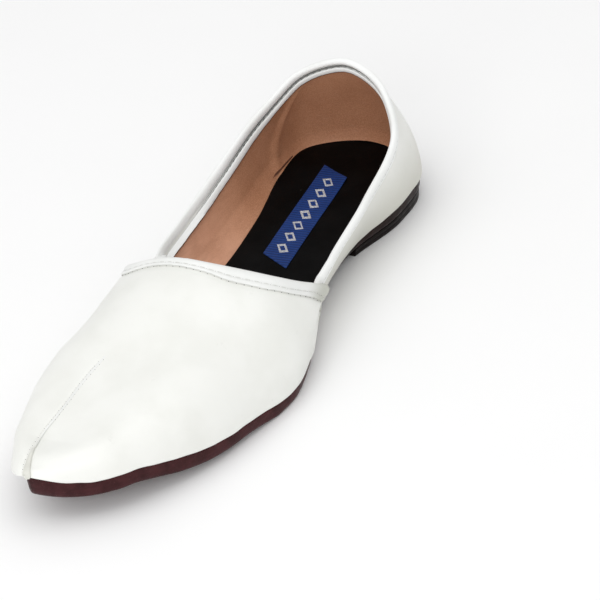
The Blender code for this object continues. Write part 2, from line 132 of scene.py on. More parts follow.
LENGTH = 285.0
COLUMNS = ("station", "left", "right", "feather", "rise", "in_left", "in_right", "low", "high", "sole_in")
LAST = (
    (0, 1.5, -1.5, 13.5, 53.5, 14.5, 14.5, 20.5, 11.5, 1.5),
    (0.05, 33, 30, 12.5, 46.5, 12.2, 9.5, 18.5, 10, 1.5),
    (0.14, 36.5, 33, 11.5, 36.5, -0.5, -0.5, 14.5, 9, 1.5),
    (0.27, 30, 28, 10.3, 26.5, -10, -10.5, 11, 9, 3.5),
    (0.41, 33, 25.5, 8.2, 22, -8.5, -13, 11, 12.5, 3.5),
    (0.54, 48, 34, 6.5, 20, -3, -8, 12.5, 16.5, 1.6),
    (0.65, 51, 42, 6.5, 19.5, 2.5, 0, 14.5, 19.5, 0.8),
    (0.75, 45, 43.5, 9, 20.5, 5, 2.5, 16, 23, 0.8),
    (0.85, 34, 39, 13.5, 17.5, 6, 4, 17.5, 26.5, 1),
    (0.93, 20.5, 32, 18, 12.5, 6, 5, 18.5, 29, 1.6),
    (1, -12, 12, 21, 7, 3.5, 3.5, 20, 32, 2.2),
)
CREST = ((0.45, 60.5), (0.53, 57.0), (0.60, 54.5), (0.68, 49.0), (0.77, 41.5), (0.86, 35.0), (0.93, 30.0))
CREST_LEFT = ((0.0, 0.0), (0.2, -1.0), (0.5, 4.0), (0.8, -12.0), (1.0, -16.5))
# Unevenness of the hand-cut edge: station, rise of the edge, and how far its left side is set in.
UNEVEN = (
    (0.55, 0, 0), (0.617, -0.4, -1), (0.655, -0.1, 0), (0.69, 0.8, 0.7), (0.72, 0.9, 0.7),
    (0.755, 0.25, 0.1), (0.79, 0.1, -0.3), (0.82, 0.3, -0.3), (0.85, 0.7, 0), (0.884, 1.6, 0.8),
    (0.908, 1.9, 1.1), (0.93, 1.1, 0.4), (0.965, 0.6, 0), (0.985, 2.2, 0), (1, 4.8, 0),
)
# Beside the throat's corners: station, how far the topline is drawn in on the left and on the
# right, and how much lower it lies on the right.
DRAWN_IN = (
    (0.41, 0, 0, 0), (0.435, 1.4, 0, 0.5), (0.455, 3.4, 0.4, 1.2), (0.48, 3.6, 1.5, 1.6),
    (0.5, 3, 2.3, 1.5), (0.52, 2, 1.7, 1.1), (0.56, 0.6, 0.4, 0.5), (0.6, 0, 0, 0), (0.66, 0, -0.4, 0),
    (0.71, 0, -0.2, 0), (0.75, 0, -0.6, 0), (0.82, 0, -0.7, 0), (0.85, 0, -0.3, 0), (0.89, 0, 0.4, 0),
    (0.93, 0, -0.5, 0), (0.96, 0, -0.3, 0), (1, 0, 0, 0),
)
# Soft dents and swellings of the skin: side, how far out and up, then the middle and the spread of
# each along the stations and along the climbs.
DENTS = (
    (1, 0, -1.2, 0.466, 0.026, 0.98, 0.22), (-1, 0, -1.7, 0.586, 0.04, 1.5, 0.34),
    (-1, -1.2, -0.8, 0.535, 0.035, 1.2, 0.14), (-1, 1.2, -0.4, 0.978, 0.022, 0.2, 0.4),
)

# Thickness of the sole, and how much further in its right side stands, at each station.
SOLE = ((0, 6.5), (0.7, 6.5), (0.75, 6.7), (0.82, 7.7), (0.91, 7.9), (0.96, 8.2), (0.985, 8.9), (1, 9.6))
SOLE_IN_RIGHT = ((0.86, 0.0), (0.93, 1.0), (0.97, 2.3), (1.0, 2.0))
TOE_FAN, HEEL_FAN, FAN_SOFT = 12.0, 39.0, 5.0  # where the sections fan out round the ends
WALL_PULL, KNUCKLE_PULL, CREST_PULL = 0.36, 0.30, 0.45  # handle lengths of a section's curves
FEATHER_EASE = 0.7  # how much longer steps between the feather line's knots weigh
SEAM = 0.455  # stations of the side seam and of the throat's middle
THROAT = 0.578
THROAT_POWER = 2.0, 3.8  # left, right
CORNER = 0.02  # softness of the throat's corners, as climb
LAP = 0.8  # how far the vamp stands off the quarters, and how far at the corners, left and right
LAP_CORNER = 4.7, 0.1
LAP_CENTRE = 0.905  # climb of a corner's middle, and its spread below and above
LAP_SPREAD = 0.17, 0.22
LAP_REACH = 0.25

last = dict(zip(COLUMNS, np.array(LAST, float).T))
HEEL_PLACE = len(LAST) - 1


def feather_knots():
    """Knots of the closed feather line, from the toe back along the left, and the step after each."""
    y = LENGTH / 2 - LENGTH * last["station"]
    left = np.column_stack([last["left"], y])[::-1]
    right = np.column_stack([-last["right"], y])[1:-1]
    mean = np.column_stack([(last["left"] + last["right"]) / 2, y])[::-1]
    step = np.linalg.norm(np.diff(mean, axis=0), axis=1) ** FEATHER_EASE
    return np.vstack([left, right]), np.concatenate([step, step[::-1]])


KNOTS, STEPS = feather_knots()


def feather(side, place):
    """The feather line, where the upper meets the sole, in plan."""
    count = len(KNOTS)
    along = np.where(side > 0, place, count - place) % count
    i = np.floor(along).astype(int)
    t = (along - i)[..., None]
    before, start, end, after = (KNOTS[(i + k) % count] for k in (-1, 0, 1, 2))
    d0, d1, d2 = (STEPS[(i + k) % count][..., None] for k in (-1, 0, 1))
    lean1 = ((start - before) / d0 * d1 + (end - start) / d1 * d0) / (d0 + d1) * d1
    lean2 = ((end - start) / d1 * d2 + (after - end) / d2 * d1) / (d1 + d2) * d1
    return hermite(t, start, lean1, end, lean2)


def station_at(plan):
    return 0.5 - plan[..., 1] / LENGTH


def station_of(place):
    return station_at(feather(1, place))


PLACES = np.linspace(0, HEEL_PLACE, 400)
STATIONS = station_of(PLACES)


def place_of(station):
    return np.interp(station, STATIONS[::-1], PLACES[::-1])


def spine(place):
    """The point of the middle line that a place's section runs to, and its station."""
    y = feather(1, place)[..., 1]
    low = TOE_FAN - LENGTH / 2
    high = LENGTH / 2 - HEEL_FAN
    y = low + FAN_SOFT * np.logaddexp(0, (y - low) / FAN_SOFT)
    y = high - FAN_SOFT * np.logaddexp(0, (high - y) / FAN_SOFT)
    station = 0.5 - y / LENGTH
    return np.stack([curve(CREST_LEFT, station), y], axis=-1), station


def outward(side, place):
    """The upper's edge in plan, the way out from it, and its station."""
    edge = feather(side, place)
    out = unit(edge - spine(place)[0])
    station = station_of(place)
    inset = by_side(side, curve(UNEVEN, station, 2), 0)
    return edge - out * inset[..., None], out, station


def in_from_edge(side, place, distance):
    """Points in plan at a distance inside the upper's edge."""
    edge, out, _ = outward(side, place)
    return edge - out * np.broadcast_to(distance, len(place))[:, None]


def column(name, station):
    return smooth(last["station"], last[name], station)


def wall_height(station):
    return np.hypot(column("rise", station), column("in_left", station))


def seat(plan):
    """Height of the upper's edge over the floor."""
    station = station_at(plan)
    return smooth(last["station"], last["feather"], station, level=True) + curve(UNEVEN, station)


def sole_depth(plan):
    """Thickness of the sole: it stops at the floor."""
    return np.minimum(curve(SOLE, station_at(plan), level=True), seat(plan))


def lift(plan, height):
    return np.concatenate([plan, np.asarray(height)[..., None]], axis=-1)


def bezier(p0, p1, p2, p3, t):
    t = t[..., None]
    return (1 - t) ** 3 * p0 + 3 * t * (1 - t) ** 2 * p1 + 3 * t**2 * (1 - t) * p2 + t**3 * p3


def skin(side, place, climb):
    """Outer surface. climb is 0 at the feather line, 1 at the topline or knuckle and 2 at the crest."""
    side, place, climb = np.broadcast_arrays(*(np.asarray(v, float) for v in (side, place, climb)))
    edge, out, station = outward(side, place)
    centre, crest_station = spine(place)
    foot_z = seat(edge)
    left, right, low = (curve(DRAWN_IN, station, k, level=True) for k in (1, 2, 3))
    inset = by_side(side, column("in_left", station) + left, column("in_right", station) + right)
    rise = column("rise", station) - curve(UNEVEN, station) - by_side(side, 0, low)
    foot = lift(edge, foot_z)
    knuckle = lift(edge - out * inset[..., None], foot_z + rise)
    crest = lift(centre, curve(CREST, crest_station))
    chord = np.arctan2(-inset, rise)
    lean_low = chord + np.radians(column("low", station))
    lean_high = chord - np.radians(column("high", station))
    level_out = lift(out, np.zeros(out.shape[:-1]))
    up_low, up_high = (
        level_out * np.sin(lean)[..., None] + lift(0 * out, np.cos(lean)) for lean in (lean_low, lean_high)
    )
    wall = np.linalg.norm(knuckle - foot, axis=-1)[..., None]
    top = np.linalg.norm(crest - knuckle, axis=-1)[..., None]
    pull = wall * WALL_PULL
    low = bezier(foot, foot + up_low * pull, knuckle - up_high * pull, knuckle, climb)
    over_knuckle = knuckle + up_high * top * KNUCKLE_PULL
    beside_crest = crest + level_out * top * CREST_PULL
    high = bezier(knuckle, over_knuckle, beside_crest, crest, climb - 1)
    point = np.where((climb <= 1)[..., None], low, high)
    for which, push, raise_by, middle, wide, level, tall in DENTS:
        share = np.exp(-(((station - middle) / wide) ** 2) - ((climb - level) / tall) ** 2) * (side == which)
        point = point + share[..., None] * (level_out * push + np.array([0.0, 0.0, raise_by]))
    return point


def skin_normal(side, place, climb):
    step = 0.02
    climb = np.clip(climb, 0, 2 - 2 * step)
    along = skin(side, place + step, climb) - skin(side, place - step, climb)
    up = skin(side, place, climb + step) - skin(side, place, np.maximum(climb - step, 0))
    return unit(np.cross(along, up) * np.asarray(side, float)[..., None])


def throat_place(side, climb):
    """Place of the vamp's back edge: the side seam up to the knuckle, and the throat above it."""
    over = np.minimum(CORNER * np.logaddexp(0, (np.asarray(climb, float) - 1) / CORNER), 1)
    return place_of(SEAM + (THROAT - SEAM) * (1 - (1 - over) ** by_side(side, *THROAT_POWER)))


def lap(side, share, climb):
    """How far the vamp's rear part stands off the quarters under it."""
    fade = np.clip((share - 1 + LAP_REACH) / LAP_REACH, 0, 1) ** 2
    corner = hump(climb, LAP_CENTRE, np.where(climb < LAP_CENTRE, *LAP_SPREAD))
    return fade * (LAP + (by_side(side, *LAP_CORNER) - LAP) * corner)


# ---- small tools for shapes


def grid_faces(rows, cols):
    index = np.arange(rows * cols).reshape(rows, cols)
    corners = [index[:-1, :-1], index[:-1, 1:], index[1:, 1:], index[1:, :-1]]
    return np.stack(corners, axis=-1).reshape(-1, 4)


def weld(points, faces):
    """Joins points that coincide. Returns which of the used ones to keep, and the faces on them."""
    used = np.unique(faces)
    rounded = np.round(points[used], 3) + 0.0
    _, keep, back = np.unique(rounded, axis=0, return_index=True, return_inverse=True)
    number = np.zeros(len(points), int)
    number[used] = back.ravel()
    joined = [list(dict.fromkeys(number[face].tolist())) for face in faces]
    return used[keep], [face for face in joined if len(face) > 2]


def normals(points, faces):
    """Unit normal at each point, the mean of its faces'."""
    total = np.zeros(points.shape)
    for face in faces:
        corner = points[face]
        total[face] += np.cross(corner[2] - corner[0], corner[-1] - corner[1])
    return total / np.maximum(np.linalg.norm(total, axis=1), 1e-9)[:, None]


def shell(outer, inner, faces):
    """A closed solid between two sheets of points that share their faces."""
    count = len(outer)
    edges = {(a, b) for face in faces for a, b in zip(face, face[1:] + face[:1])}
    rim = sorted(edge for edge in edges if edge[::-1] not in edges)
    solid = list(faces) + [[i + count for i in face[::-1]] for face in faces]
    solid += [[b, a, a + count, b + count] for a, b in rim]
    return np.vstack([outer, inner]), solid


def sweep(sections, caps=True):
    """Points and faces of a tube through equal rings of points."""
    count, ring = sections.shape[:2]
    i, j = np.meshgrid(np.arange(count - 1), np.arange(ring), indexing="ij")
    k = (j + 1) % ring
    quads = np.stack([i * ring + j, i * ring + k, (i + 1) * ring + k, (i + 1) * ring + j], axis=-1)
    faces = quads.reshape(-1, 4).tolist()
    if caps:
        faces += [list(range(ring))[::-1], [(count - 1) * ring + j for j in range(ring)]]
    return sections.reshape(-1, 3), faces


def tube(path, one, other, size, sides=8):
    """A round thread along a path. one and other are the two ways across it."""
    turn = np.linspace(0, 2 * np.pi, sides, endpoint=False)[:, None]
    size = np.broadcast_to(size, len(path))[:, None, None]
    return sweep(path[:, None] + size * (one[:, None] * np.cos(turn) + other[:, None] * np.sin(turn)))


def join(parts):
    points, faces = [], []
    count = 0
    for part_points, part_faces in parts:
        faces += [[index + count for index in face] for face in part_faces]
        points.append(part_points)
        count += len(part_points)
    return np.vstack(points), faces


def make_piece(name, points, faces, material, slot, node=None, angle=55):
    """An object from points in millimetres, riding on the shoe."""
    mesh = bpy.data.meshes.new(name)
    mesh.from_pydata(((np.asarray(points) + CENTRE) * MM).tolist(), [], [list(face) for face in faces])
    shape = bmesh.new()
    shape.from_mesh(mesh)
    bmesh.ops.remove_doubles(shape, verts=shape.verts, dist=2e-6)
    bmesh.ops.dissolve_degenerate(shape, edges=shape.edges, dist=1e-6)
    bmesh.ops.recalc_face_normals(shape, faces=shape.faces)
    shape.to_mesh(mesh)
    shape.free()
    mesh.shade_smooth()
    mesh.set_sharp_from_angle(angle=np.radians(angle))
    mesh.materials.append(material)
    made = bpy.data.objects.new(name, mesh)
    bpy.context.scene.collection.objects.link(made)
    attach(made, "root")
    if node:
        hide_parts(node)
    return made


# ---- materials


def node(tree, kind, inputs, **settings):
    """A shader node. An input that is a socket is linked, and any other sets the value."""
    made = tree.nodes.new("ShaderNode" + kind)
    for name, value in settings.items():
        setattr(made, name, value)
    for key, value in inputs.items():
        if isinstance(value, bpy.types.NodeSocket):
            tree.links.new(value, made.inputs[key])
        else:
            opaque = (1,) if made.inputs[key].type == "RGBA" else ()
            made.inputs[key].default_value = (*value, *opaque) if opaque else value
    return made


def noise_of(tree, size, detail=3.0, rough=0.5, stretch=(1, 1, 1), turn=0.0):
    """Noise from 0 to 1 with features of that size in millimetres."""
    place = node(tree, "TexCoord", {}).outputs["Object"]
    scale = tuple(s / (size * MM) for s in stretch)
    place = node(tree, "Mapping", {"Vector": place, "Scale": scale, "Rotation": (0, 0, turn)}).outputs[0]
    inputs = {"Vector": place, "Scale": 1.0, "Detail": detail, "Roughness": rough}
    return node(tree, "TexNoise", inputs).outputs[0]


def cells_of(tree, feature, size):
    """Distance in a field of irregular cells of that size in millimetres."""
    place = node(tree, "TexCoord", {}).outputs["Object"]
    inputs = {"Vector": place, "Scale": 1 / (size * MM), "Randomness": 1.0}
    return node(tree, "TexVoronoi", inputs, feature=feature).outputs["Distance"]


def ranged(tree, value, low, high, to_low=0.0, to_high=1.0):
    inputs = {"Value": value, "From Min": low, "From Max": high, "To Min": to_low, "To Max": to_high}
    return node(tree, "MapRange", inputs, interpolation_type="SMOOTHSTEP").outputs[0]


def field(tree, source, *limits):
    """Noise (size, ...) or cells (feature, size), spread between its limits if there are any."""
    made = cells_of(tree, *source) if isinstance(source[0], str) else noise_of(tree, *source)
    return ranged(tree, made, *limits) if limits else made


def ramps(tree, *limits):
    """Share that is 1 past the end of every ramp: axis, then start and end in metres."""
    place = node(tree, "TexCoord", {}).outputs["Object"]
    axes = node(tree, "SeparateXYZ", {"Vector": place}).outputs
    share, *others = (ranged(tree, axes[axis], start, end) for axis, start, end in limits)
    for other in others:
        share = node(tree, "Math", {0: share, 1: other}, operation="MULTIPLY").outputs["Value"]
    return share


def blended(tree, share, a, b):
    """Colour between a and b, each a colour or a socket."""
    return node(tree, "Mix", {"Factor": share, 6: a, 7: b}, data_type="RGBA").outputs[2]


def bumped(tree, layers):
    """Stacks (height socket, millimetres) layers into one normal."""
    normal = None
    for height, size in layers:
        inputs = {"Height": height, "Distance": size * MM, "Strength": 1.0}
        if normal is not None:
            inputs["Normal"] = normal
        normal = node(tree, "Bump", inputs).outputs[0]
    return normal


def surface(name):
    """A new material, its node tree and its shader."""
    made = bpy.data.materials.new(name)
    made.use_nodes = True
    return made, made.node_tree, made.node_tree.nodes["Principled BSDF"]


def finish_of(tree, shader, colour, roughness, normal, specular=0.5):
    tree.links.new(colour, shader.inputs["Base Color"])
    tree.links.new(roughness, shader.inputs["Roughness"])
    tree.links.new(normal, shader.inputs["Normal"])
    shader.inputs["Specular IOR Level"].default_value = specular


def mottled(name, cloud, light, dark, overlays, gloss, bumps, specular=0.5):
    """A material with clouds between two colours, and other colours over them.

    An overlay is its colour, or its own light and dark, then field or ramps and what those take.
    gloss is size, detail and roughness from and to. A bump is its millimetres, then a field.
    """
    made, tree, shader = surface(name)
    clouds = field(tree, *cloud)
    colour = blended(tree, clouds, light, dark)
    for over, share_of, *limits in overlays:
        if isinstance(over[0], tuple):
            over = blended(tree, clouds, *over)
        colour = blended(tree, share_of(tree, *limits), colour, over)
    size, detail, *between = gloss
    rough = field(tree, (size, detail), 0.3, 0.7, *between)
    layers = [(field(tree, *parts), height) for height, *parts in bumps]
    finish_of(tree, shader, colour, rough, bumped(tree, layers), specular)
    return made


def tinted(colour, *shares):
    """A colour times one share, or times one for each part."""
    return tuple(part * share for part, share in zip(colour, shares * (3 // len(shares))))


def white_leather(name, light, dark, grain=0.55, soil=0.5, *painted_shades):
    """Smooth drum-dyed leather: faint cloudiness, fine grain and pores, small grey handling marks.

    A shade is painted shade: how grey it turns, and the ramps along which it does so.
    """
    overlays = [
        (tinted(dark, 0.82), field, (7, 4, 0.62), 0.66, 0.80, 0, soil),
        (tinted(dark, 0.85), field, ("F1", 1.3), 0.0, 0.16, 0.35, 0),
    ]
    overlays += [(tinted(dark, *grey), ramps, *limits) for grey, *limits in painted_shades]
    bumps = (0.10, (5.0, 3)), (0.012, ("DISTANCE_TO_EDGE", grain), 0, 0.3), (0.010, (0.22, 3))
    bumps += ((0.02, ("F1", 1.3), 0.0, 0.16),)
    return mottled(name, ((24, 3), 0.35, 0.68), light, dark, overlays, (9, 3, 0.36, 0.48), bumps)


def sole_stuff(name, light, dark, speck, *heel):
    """Dyed and waxed sole: mottled, with fine paler specks, an uneven cut face and a darker heel."""
    overlays = [(tinted(dark, 0.6), field, (3, 4, 0.6, (0.35, 0.35, 3.0)), 0.45, 0.8, 0, 0.4)]
    overlays += [(colours, ramps, ("Y", 0.0, 0.06)) for colours in heel]
    overlays += [(speck, field, ("F1", 1.1), 0.08, 0.16, 0.7, 0)]
    bumps = (0.20, (4, 4)), (0.05, (0.8, 3)), (0.015, (0.2, 2))
    return mottled(name, ((7, 5, 0.6), 0.35, 0.68), light, dark, overlays, (5, 4, 0.30, 0.46), bumps, 0.13)


def thread_stuff(name, light, dark, *heel):
    """Twisted thread, darker at the heel where heel gives its colours there; that darkening is painted
    shade.
    """
    overlays = [(colours, ramps, ("Y", 0.03, 0.10)) for colours in heel]
    bumps = ((0.03, (0.15, 2)),)
    return mottled(name, ((0.30, 2), 0.35, 0.65), light, dark, overlays, (1.0, 2, 0.45, 0.6), bumps, 0.4)


def woven_ribbon(name, turn):
    """Blue satin ribbon: ribs across its length and fine warp threads along it."""
    made, tree, shader = surface(name)
    place = node(tree, "TexCoord", {}).outputs["Object"]
    place = node(tree, "Mapping", {"Vector": place, "Rotation": (0, 0, turn)}).outputs[0]
    ribs = {"Vector": place, "Scale": 190.0, "Distortion": 0.4, "Detail": 2.0, "Detail Scale": 3.0}
    warps = {"Vector": place, "Scale": 700.0, "Distortion": 0.6, "Detail": 1.0}
    rib = node(tree, "TexWave", ribs, bands_direction="Y").outputs["Fac"]
    warp = node(tree, "TexWave", warps, bands_direction="X").outputs["Fac"]
    colour = blended(tree, ranged(tree, rib, 0.1, 0.9), (0.008, 0.027, 0.115), (0.013, 0.050, 0.225))
    colour = blended(tree, ranged(tree, warp, 0.2, 0.9, 0, 0.35), colour, (0.006, 0.020, 0.095))
    colour = blended(tree, field(tree, (8, 2), 0.3, 0.7, 0, 0.25), colour, (0.017, 0.060, 0.250))
    gloss = field(tree, (1.5, 2), 0.3, 0.7, 0.42, 0.55)
    finish_of(tree, shader, colour, gloss, bumped(tree, ((rib, 0.08), (warp, 0.03))), 0.15)
    return made


drum_dyed = (0.865, 0.87, 0.835), (0.82, 0.825, 0.785)
folded = (0.86, 0.868, 0.85), (0.81, 0.82, 0.80)
white = white_leather("white_leather", *drum_dyed)
# The collar binding is paler than the upper's leather: painted light that brightens its roll and inner
# strip.
painted_light_edging = white_leather("white_edging", (0.92, 0.93, 0.92), (0.87, 0.88, 0.86), 0.45, 0.35)
# Greys the throat band low down at its corner on the left (+X): painted shade.
low_corner = (0.66, 0.66, 0.60), ("X", 0.030, 0.036), ("Z", 0.037, 0.027)
band_leather = white_leather("band_leather", *folded, 0.45, 0.45, low_corner)
# Greys the toe fold towards the tip: painted shade.
tip = (0.86, 0.85, 0.80), ("Y", -0.118, -0.138)
toe_leather = white_leather("toe_leather", *folded, 0.55, 0.45, tip)
# Greys the quarters on the left (+X) side towards the foot: painted shade.
near_foot_painted_shade = (0.76, 0.75, 0.71), ("X", 0.008, 0.030), ("Z", 0.046, 0.012)
quarter_leather = white_leather("quarter_leather", *drum_dyed, 0.55, 0.5, near_foot_painted_shade)
# Tan split leather: paler at the waist and darker towards the heel, where the darkening is painted shade,
# with soft clouds, streaks, a fine nap and scratches.
lining_skin = mottled(
    "tan_lining",
    ((30, 4), 0.3, 0.7),
    (0.90, 0.50, 0.34),
    (0.74, 0.375, 0.24),
    [
        # darker towards the heel: painted shade
        (((0.515, 0.245, 0.132), (0.42, 0.188, 0.095)), ramps, ("Y", 0.005, 0.085)),
        ((0.44, 0.20, 0.11), field, (6, 4, 0.6, (0.4, 0.25, 1.6)), 0.45, 0.75, 0, 0.45),
        ((0.80, 0.44, 0.28), field, (0.5, 2), 0.35, 0.65, 0, 0.30),
        ((0.74, 0.46, 0.32), field, (4, 2, 0.5, (0.5, 0.3, 7), 0.3), 0.69, 0.74, 0, 0.30),
    ],
    (12, 3, 0.50, 0.66),
    ((0.10, (3.5, 3)), (0.02, (0.35, 3))),
    0.35,
)
# Black smooth leather of the insole: dull clouds, fine grain, a few pale specks.
sock = mottled(
    "black_sock",
    ((16, 4), 0.35, 0.7),
    (0.0007, 0.0008, 0.0009),
    (0.0022, 0.0024, 0.0027),
    [((0.10, 0.10, 0.09), field, ("F1", 9.0), 0.02, 0.035, 0.55, 0)],
    (10, 3, 0.48, 0.62),
    ((0.10, (6, 3)), (0.02, ("DISTANCE_TO_EDGE", 0.7), 0, 0.3), (0.01, (0.3, 2))),
    0.06,
)
ribbon = woven_ribbon("blue_label", np.radians(-4.8))
silver = thread_stuff("silver_thread", (0.74, 0.75, 0.77), (0.20, 0.20, 0.23))
thread = thread_stuff("white_thread", (0.86, 0.86, 0.83), (0.70, 0.70, 0.67))
grey_thread = thread_stuff("grey_thread", (0.76, 0.76, 0.73), (0.60, 0.60, 0.57))
# A grey cord in the collar's groove, darker still at the heel: painted shade of the groove.
heel_painted_shade = (0.26, 0.26, 0.25), (0.15, 0.15, 0.145)
groove_painted_shade = thread_stuff("groove_painted_shade", (0.70, 0.70, 0.68), (0.55, 0.55, 0.53), heel_painted_shade)
# Dark brown tubes under the collar strip's edge and along the lining's crease: painted shade.
lining_gap_shade = thread_stuff("lining_gap_shade", (0.15, 0.062, 0.035), (0.085, 0.034, 0.018))
# Nearly black discs at the needle holes: painted shade.
hole = thread_stuff("needle_hole_shade", (0.085, 0.08, 0.07), (0.045, 0.043, 0.038))
heel_brown = (0.018, 0.0075, 0.006), (0.010, 0.0045, 0.004)
sole_red = (0.060, 0.015, 0.017), (0.036, 0.008, 0.009), (0.15, 0.060, 0.060)
brown = sole_stuff("brown_sole", *sole_red, heel_brown)
dark = sole_stuff("dark_heel", (0.009, 0.0055, 0.0042), (0.005, 0.003, 0.0024), (0.022, 0.014, 0.011))

# ---- upper

FOOT_TURN = 1.0  # radius of the upper's edge where it turns under the foot
UNDER = 7.0  # how far it goes on under the foot
VAMP_COLUMNS = 150
QUARTER_COLUMNS = 110
WALL_ROWS = 34
TOP_ROWS = 54
VAMP_THICK = 1.0
QUARTER_THICK = 1.0
QUARTER_OVERLAP = 0.22  # how far the quarters go on under the vamp, in places
BINDING_EDGE = 4.1  # how far under the topline the groove at the binding's edge runs
SHOE_MIDDLE = np.array([0.0, 0.0, 25.0])

# The dart's lines in the seam's own measure: distance up the toe from the sole, then how far the
# folded edge and the stitch row stand to the left of the middle line.
DART = (
    (0, 2.2, -2), (4.8, 1.2, -2.1), (9, 0.8, -1.9), (12, 0.8, -1.5), (15.5, 0.4, -1.5),
    (20.5, -0.9, -2.3), (25, -1.1, -2.6), (31, -0.7, -2.2), (40, -0.2, -1.6), (50, 0, -1.5),
    (58, 0.4, -1.2), (64, 0.9, -0.5), (67.5, 1.1, 0.2),
)
DART_RISE = 0.42
DART_SPREAD = 13.0  # over which the rise fades into the vamp on the right
DART_FADE = (16.0, 48.0)


def seam_line():
    """The upper's middle line from the toe tip at the sole, and the distance along it."""
    rib = skin(1.0, 0.0, np.linspace(0, 2, 60))
    crest = skin(1.0, np.linspace(0, 3.4, 200), 2.0)
    path = np.vstack([rib, crest[1:]])
    return path, length_along(path)


def near_line(points, path, along):
    """Distance from a polyline to each point, and how far along it the nearest place is."""
    distance = np.full(len(points), np.inf)
    where = np.zeros(len(points))
    for start, way, first, size in zip(path, np.diff(path, axis=0), along, np.diff(along)):
        t = np.clip(((points - start) * way).sum(axis=1) / (way**2).sum(), 0, 1)
        gap = np.linalg.norm(points - start - t[:, None] * way, axis=1)
        nearer = gap < distance
        distance[nearer] = gap[nearer]
        where[nearer] = (first + t * size)[nearer]
    return distance, where


def bent(start, corner, end, shares):
    """Rows of points on curves that leave start towards corner and reach end from there."""
    return [(1 - t) ** 2 * start + 2 * t * (1 - t) * corner + t * t * end for t in shares]


def climbs_up(start, top, wall_rows, top_rows):
    """Climbs of a sheet's rows, from start up the wall to top, and on to the crest."""
    wall = [start + (top - start) * t for t in np.linspace(0, 1, wall_rows)]
    return wall + [0 * start + 1 + t for t in np.linspace(0, 1, top_rows + 1)[1:]]


def wall_grid(side, place_at, share, wall_rows, top_rows):
    """One side of a sheet of the upper from under the foot up, with each point's climb and share."""
    low = place_at(side, 0 * share, share)
    edge, out, station = outward(side, low)
    start = FOOT_TURN / (3 * WALL_PULL * wall_height(station))
    foot = lift(edge, seat(edge))
    turn = foot - lift(out, 0 * share) * FOOT_TURN
    deep = edge - out * UNDER
    rows = [lift(deep, seat(deep)), *bent(turn, foot, skin(side, low, start), (0, 0.25, 0.5, 0.75))]
    heights = climbs_up(start, 1, wall_rows, top_rows)
    rows += [skin(side, place_at(side, climb, share), climb) for climb in heights]
    climbs = [0 * share - 1] + [0 * share] * 4 + heights
    return np.array(rows), np.array(climbs), np.broadcast_to(share, (len(rows), len(share)))


def both_sides(grid, hidden=None):
    """A sheet of two grids joined where they meet: points, faces, normals, sides and their values.

    grid(side) gives the points and some values at them. hidden says where there is no face.
    """
    parts = [grid(side) for side in (1.0, -1.0)]
    rows, cols = parts[0][0].shape[:2]
    points = np.vstack([part[0].reshape(-1, 3) for part in parts])
    values = [np.repeat([1.0, -1.0], rows * cols)]
    values += [np.concatenate([part[k].ravel() for part in parts]) for k in range(1, len(parts[0]))]
    shown = np.ones((rows - 1, cols - 1), bool)
    if hidden:
        shown[hidden] = False
    quads = grid_faces(rows, cols)[shown.ravel()]
    keep, faces = weld(points, np.vstack([quads[:, ::-1], quads + rows * cols]))
    points = points[keep]
    normal = normals(points, faces)
    if ((points - SHOE_MIDDLE) * normal).sum() < 0:
        faces, normal = [face[::-1] for face in faces], -normal
    return points, faces, normal, *(value[keep] for value in values)


def vamp_place(side, climb, share):
    return throat_place(side, climb) * share


def quarter_place(side, climb, share):
    front = throat_place(side, climb) - QUARTER_OVERLAP
    return front + (HEEL_PLACE - front) * share


def make_vamp():
    share = np.linspace(0, 1, VAMP_COLUMNS + 1)
    sheet = both_sides(lambda side: wall_grid(side, vamp_place, share, WALL_ROWS, TOP_ROWS))
    base, faces, normal, side, climb, share = sheet
    over_quarters = lap(side, share, climb)
    # The dart: the right-hand side lies on the left-hand one, with a groove under its stitches.
    gap, up = near_line(base, *seam_line())
    across = gap * side
    edge, row = (curve(DART, up, k) for k in (1, 2))
    step = step_up(row + 0.5, np.maximum(edge - 0.3, row + 0.9), across)
    rise = step_up(-DART_SPREAD, -2.5, across) * (1 - step)
    groove = hump(across, row, 0.75) * (1 - step_up(62, 69, up))
    stand = over_quarters + ((1 - step_up(*DART_FADE, up)) * DART_RISE * rise - 0.30 * groove)
    # The leather is drawn in at the band's front edge, and lies a little unevenly on the last.
    above = np.maximum(climb, 0)
    back = np.linalg.norm(base - skin(side, throat_place(side, above), above), axis=1)
    stand -= 0.45 * hump(back, BAND_REACH + band_wider(side, climb), 1.1)
    stand += step_up(6, 14, back) * (0.20 * ripple(base, 34, 1) + 0.05 * ripple(base, 12, 2))
    low = 1 - np.clip(climb / 0.25, 0, 1)
    stand += 0.22 * low * ripple(base, 6.5, 3)
    outer = base + normal * stand[:, None]
    outer[:, 2] += np.where(climb >= 0, 0.30 * low * ripple(base * [1, 1, 0.2], 9, 4), 0)
    inner = base + normal * (np.minimum(stand, over_quarters) - VAMP_THICK)[:, None]
    make_piece("vamp", *shell(outer, inner, faces), white, "white_leather", "upper")
    return outer, faces


def make_quarters():
    share = np.linspace(0, 1, QUARTER_COLUMNS + 1)
    sheet = both_sides(lambda side: wall_grid(side, quarter_place, share, WALL_ROWS + 8, 0))
    base, faces, normal, side, climb, share = sheet
    stand = 0.16 * ripple(base, 26, 5) + 0.07 * ripple(base, 9, 6)
    stand *= 1 - step_up(0.9, 1.0, climb)
    stand += 0.2 * (1 - np.clip(climb / 0.12, 0, 1)) * ripple(base, 7, 7)
    below = np.linalg.norm(base - skin(side, quarter_place(side, 1.0, share), 1.0), axis=1)
    stand -= 0.6 * hump(below, BINDING_EDGE, 0.7)
    outer = base + normal * stand[:, None]
    inner = base - normal * QUARTER_THICK
    make_piece("quarters", *shell(outer, inner, faces), quarter_leather, "white_leather")


# ---- lining

LINING_OUT = 1.2  # lining's outer and inner face, inside the skin
LINING_IN = 2.0
INSOLE_TOP = 3.3  # over the seat
INSOLE_BOTTOM = 1.5
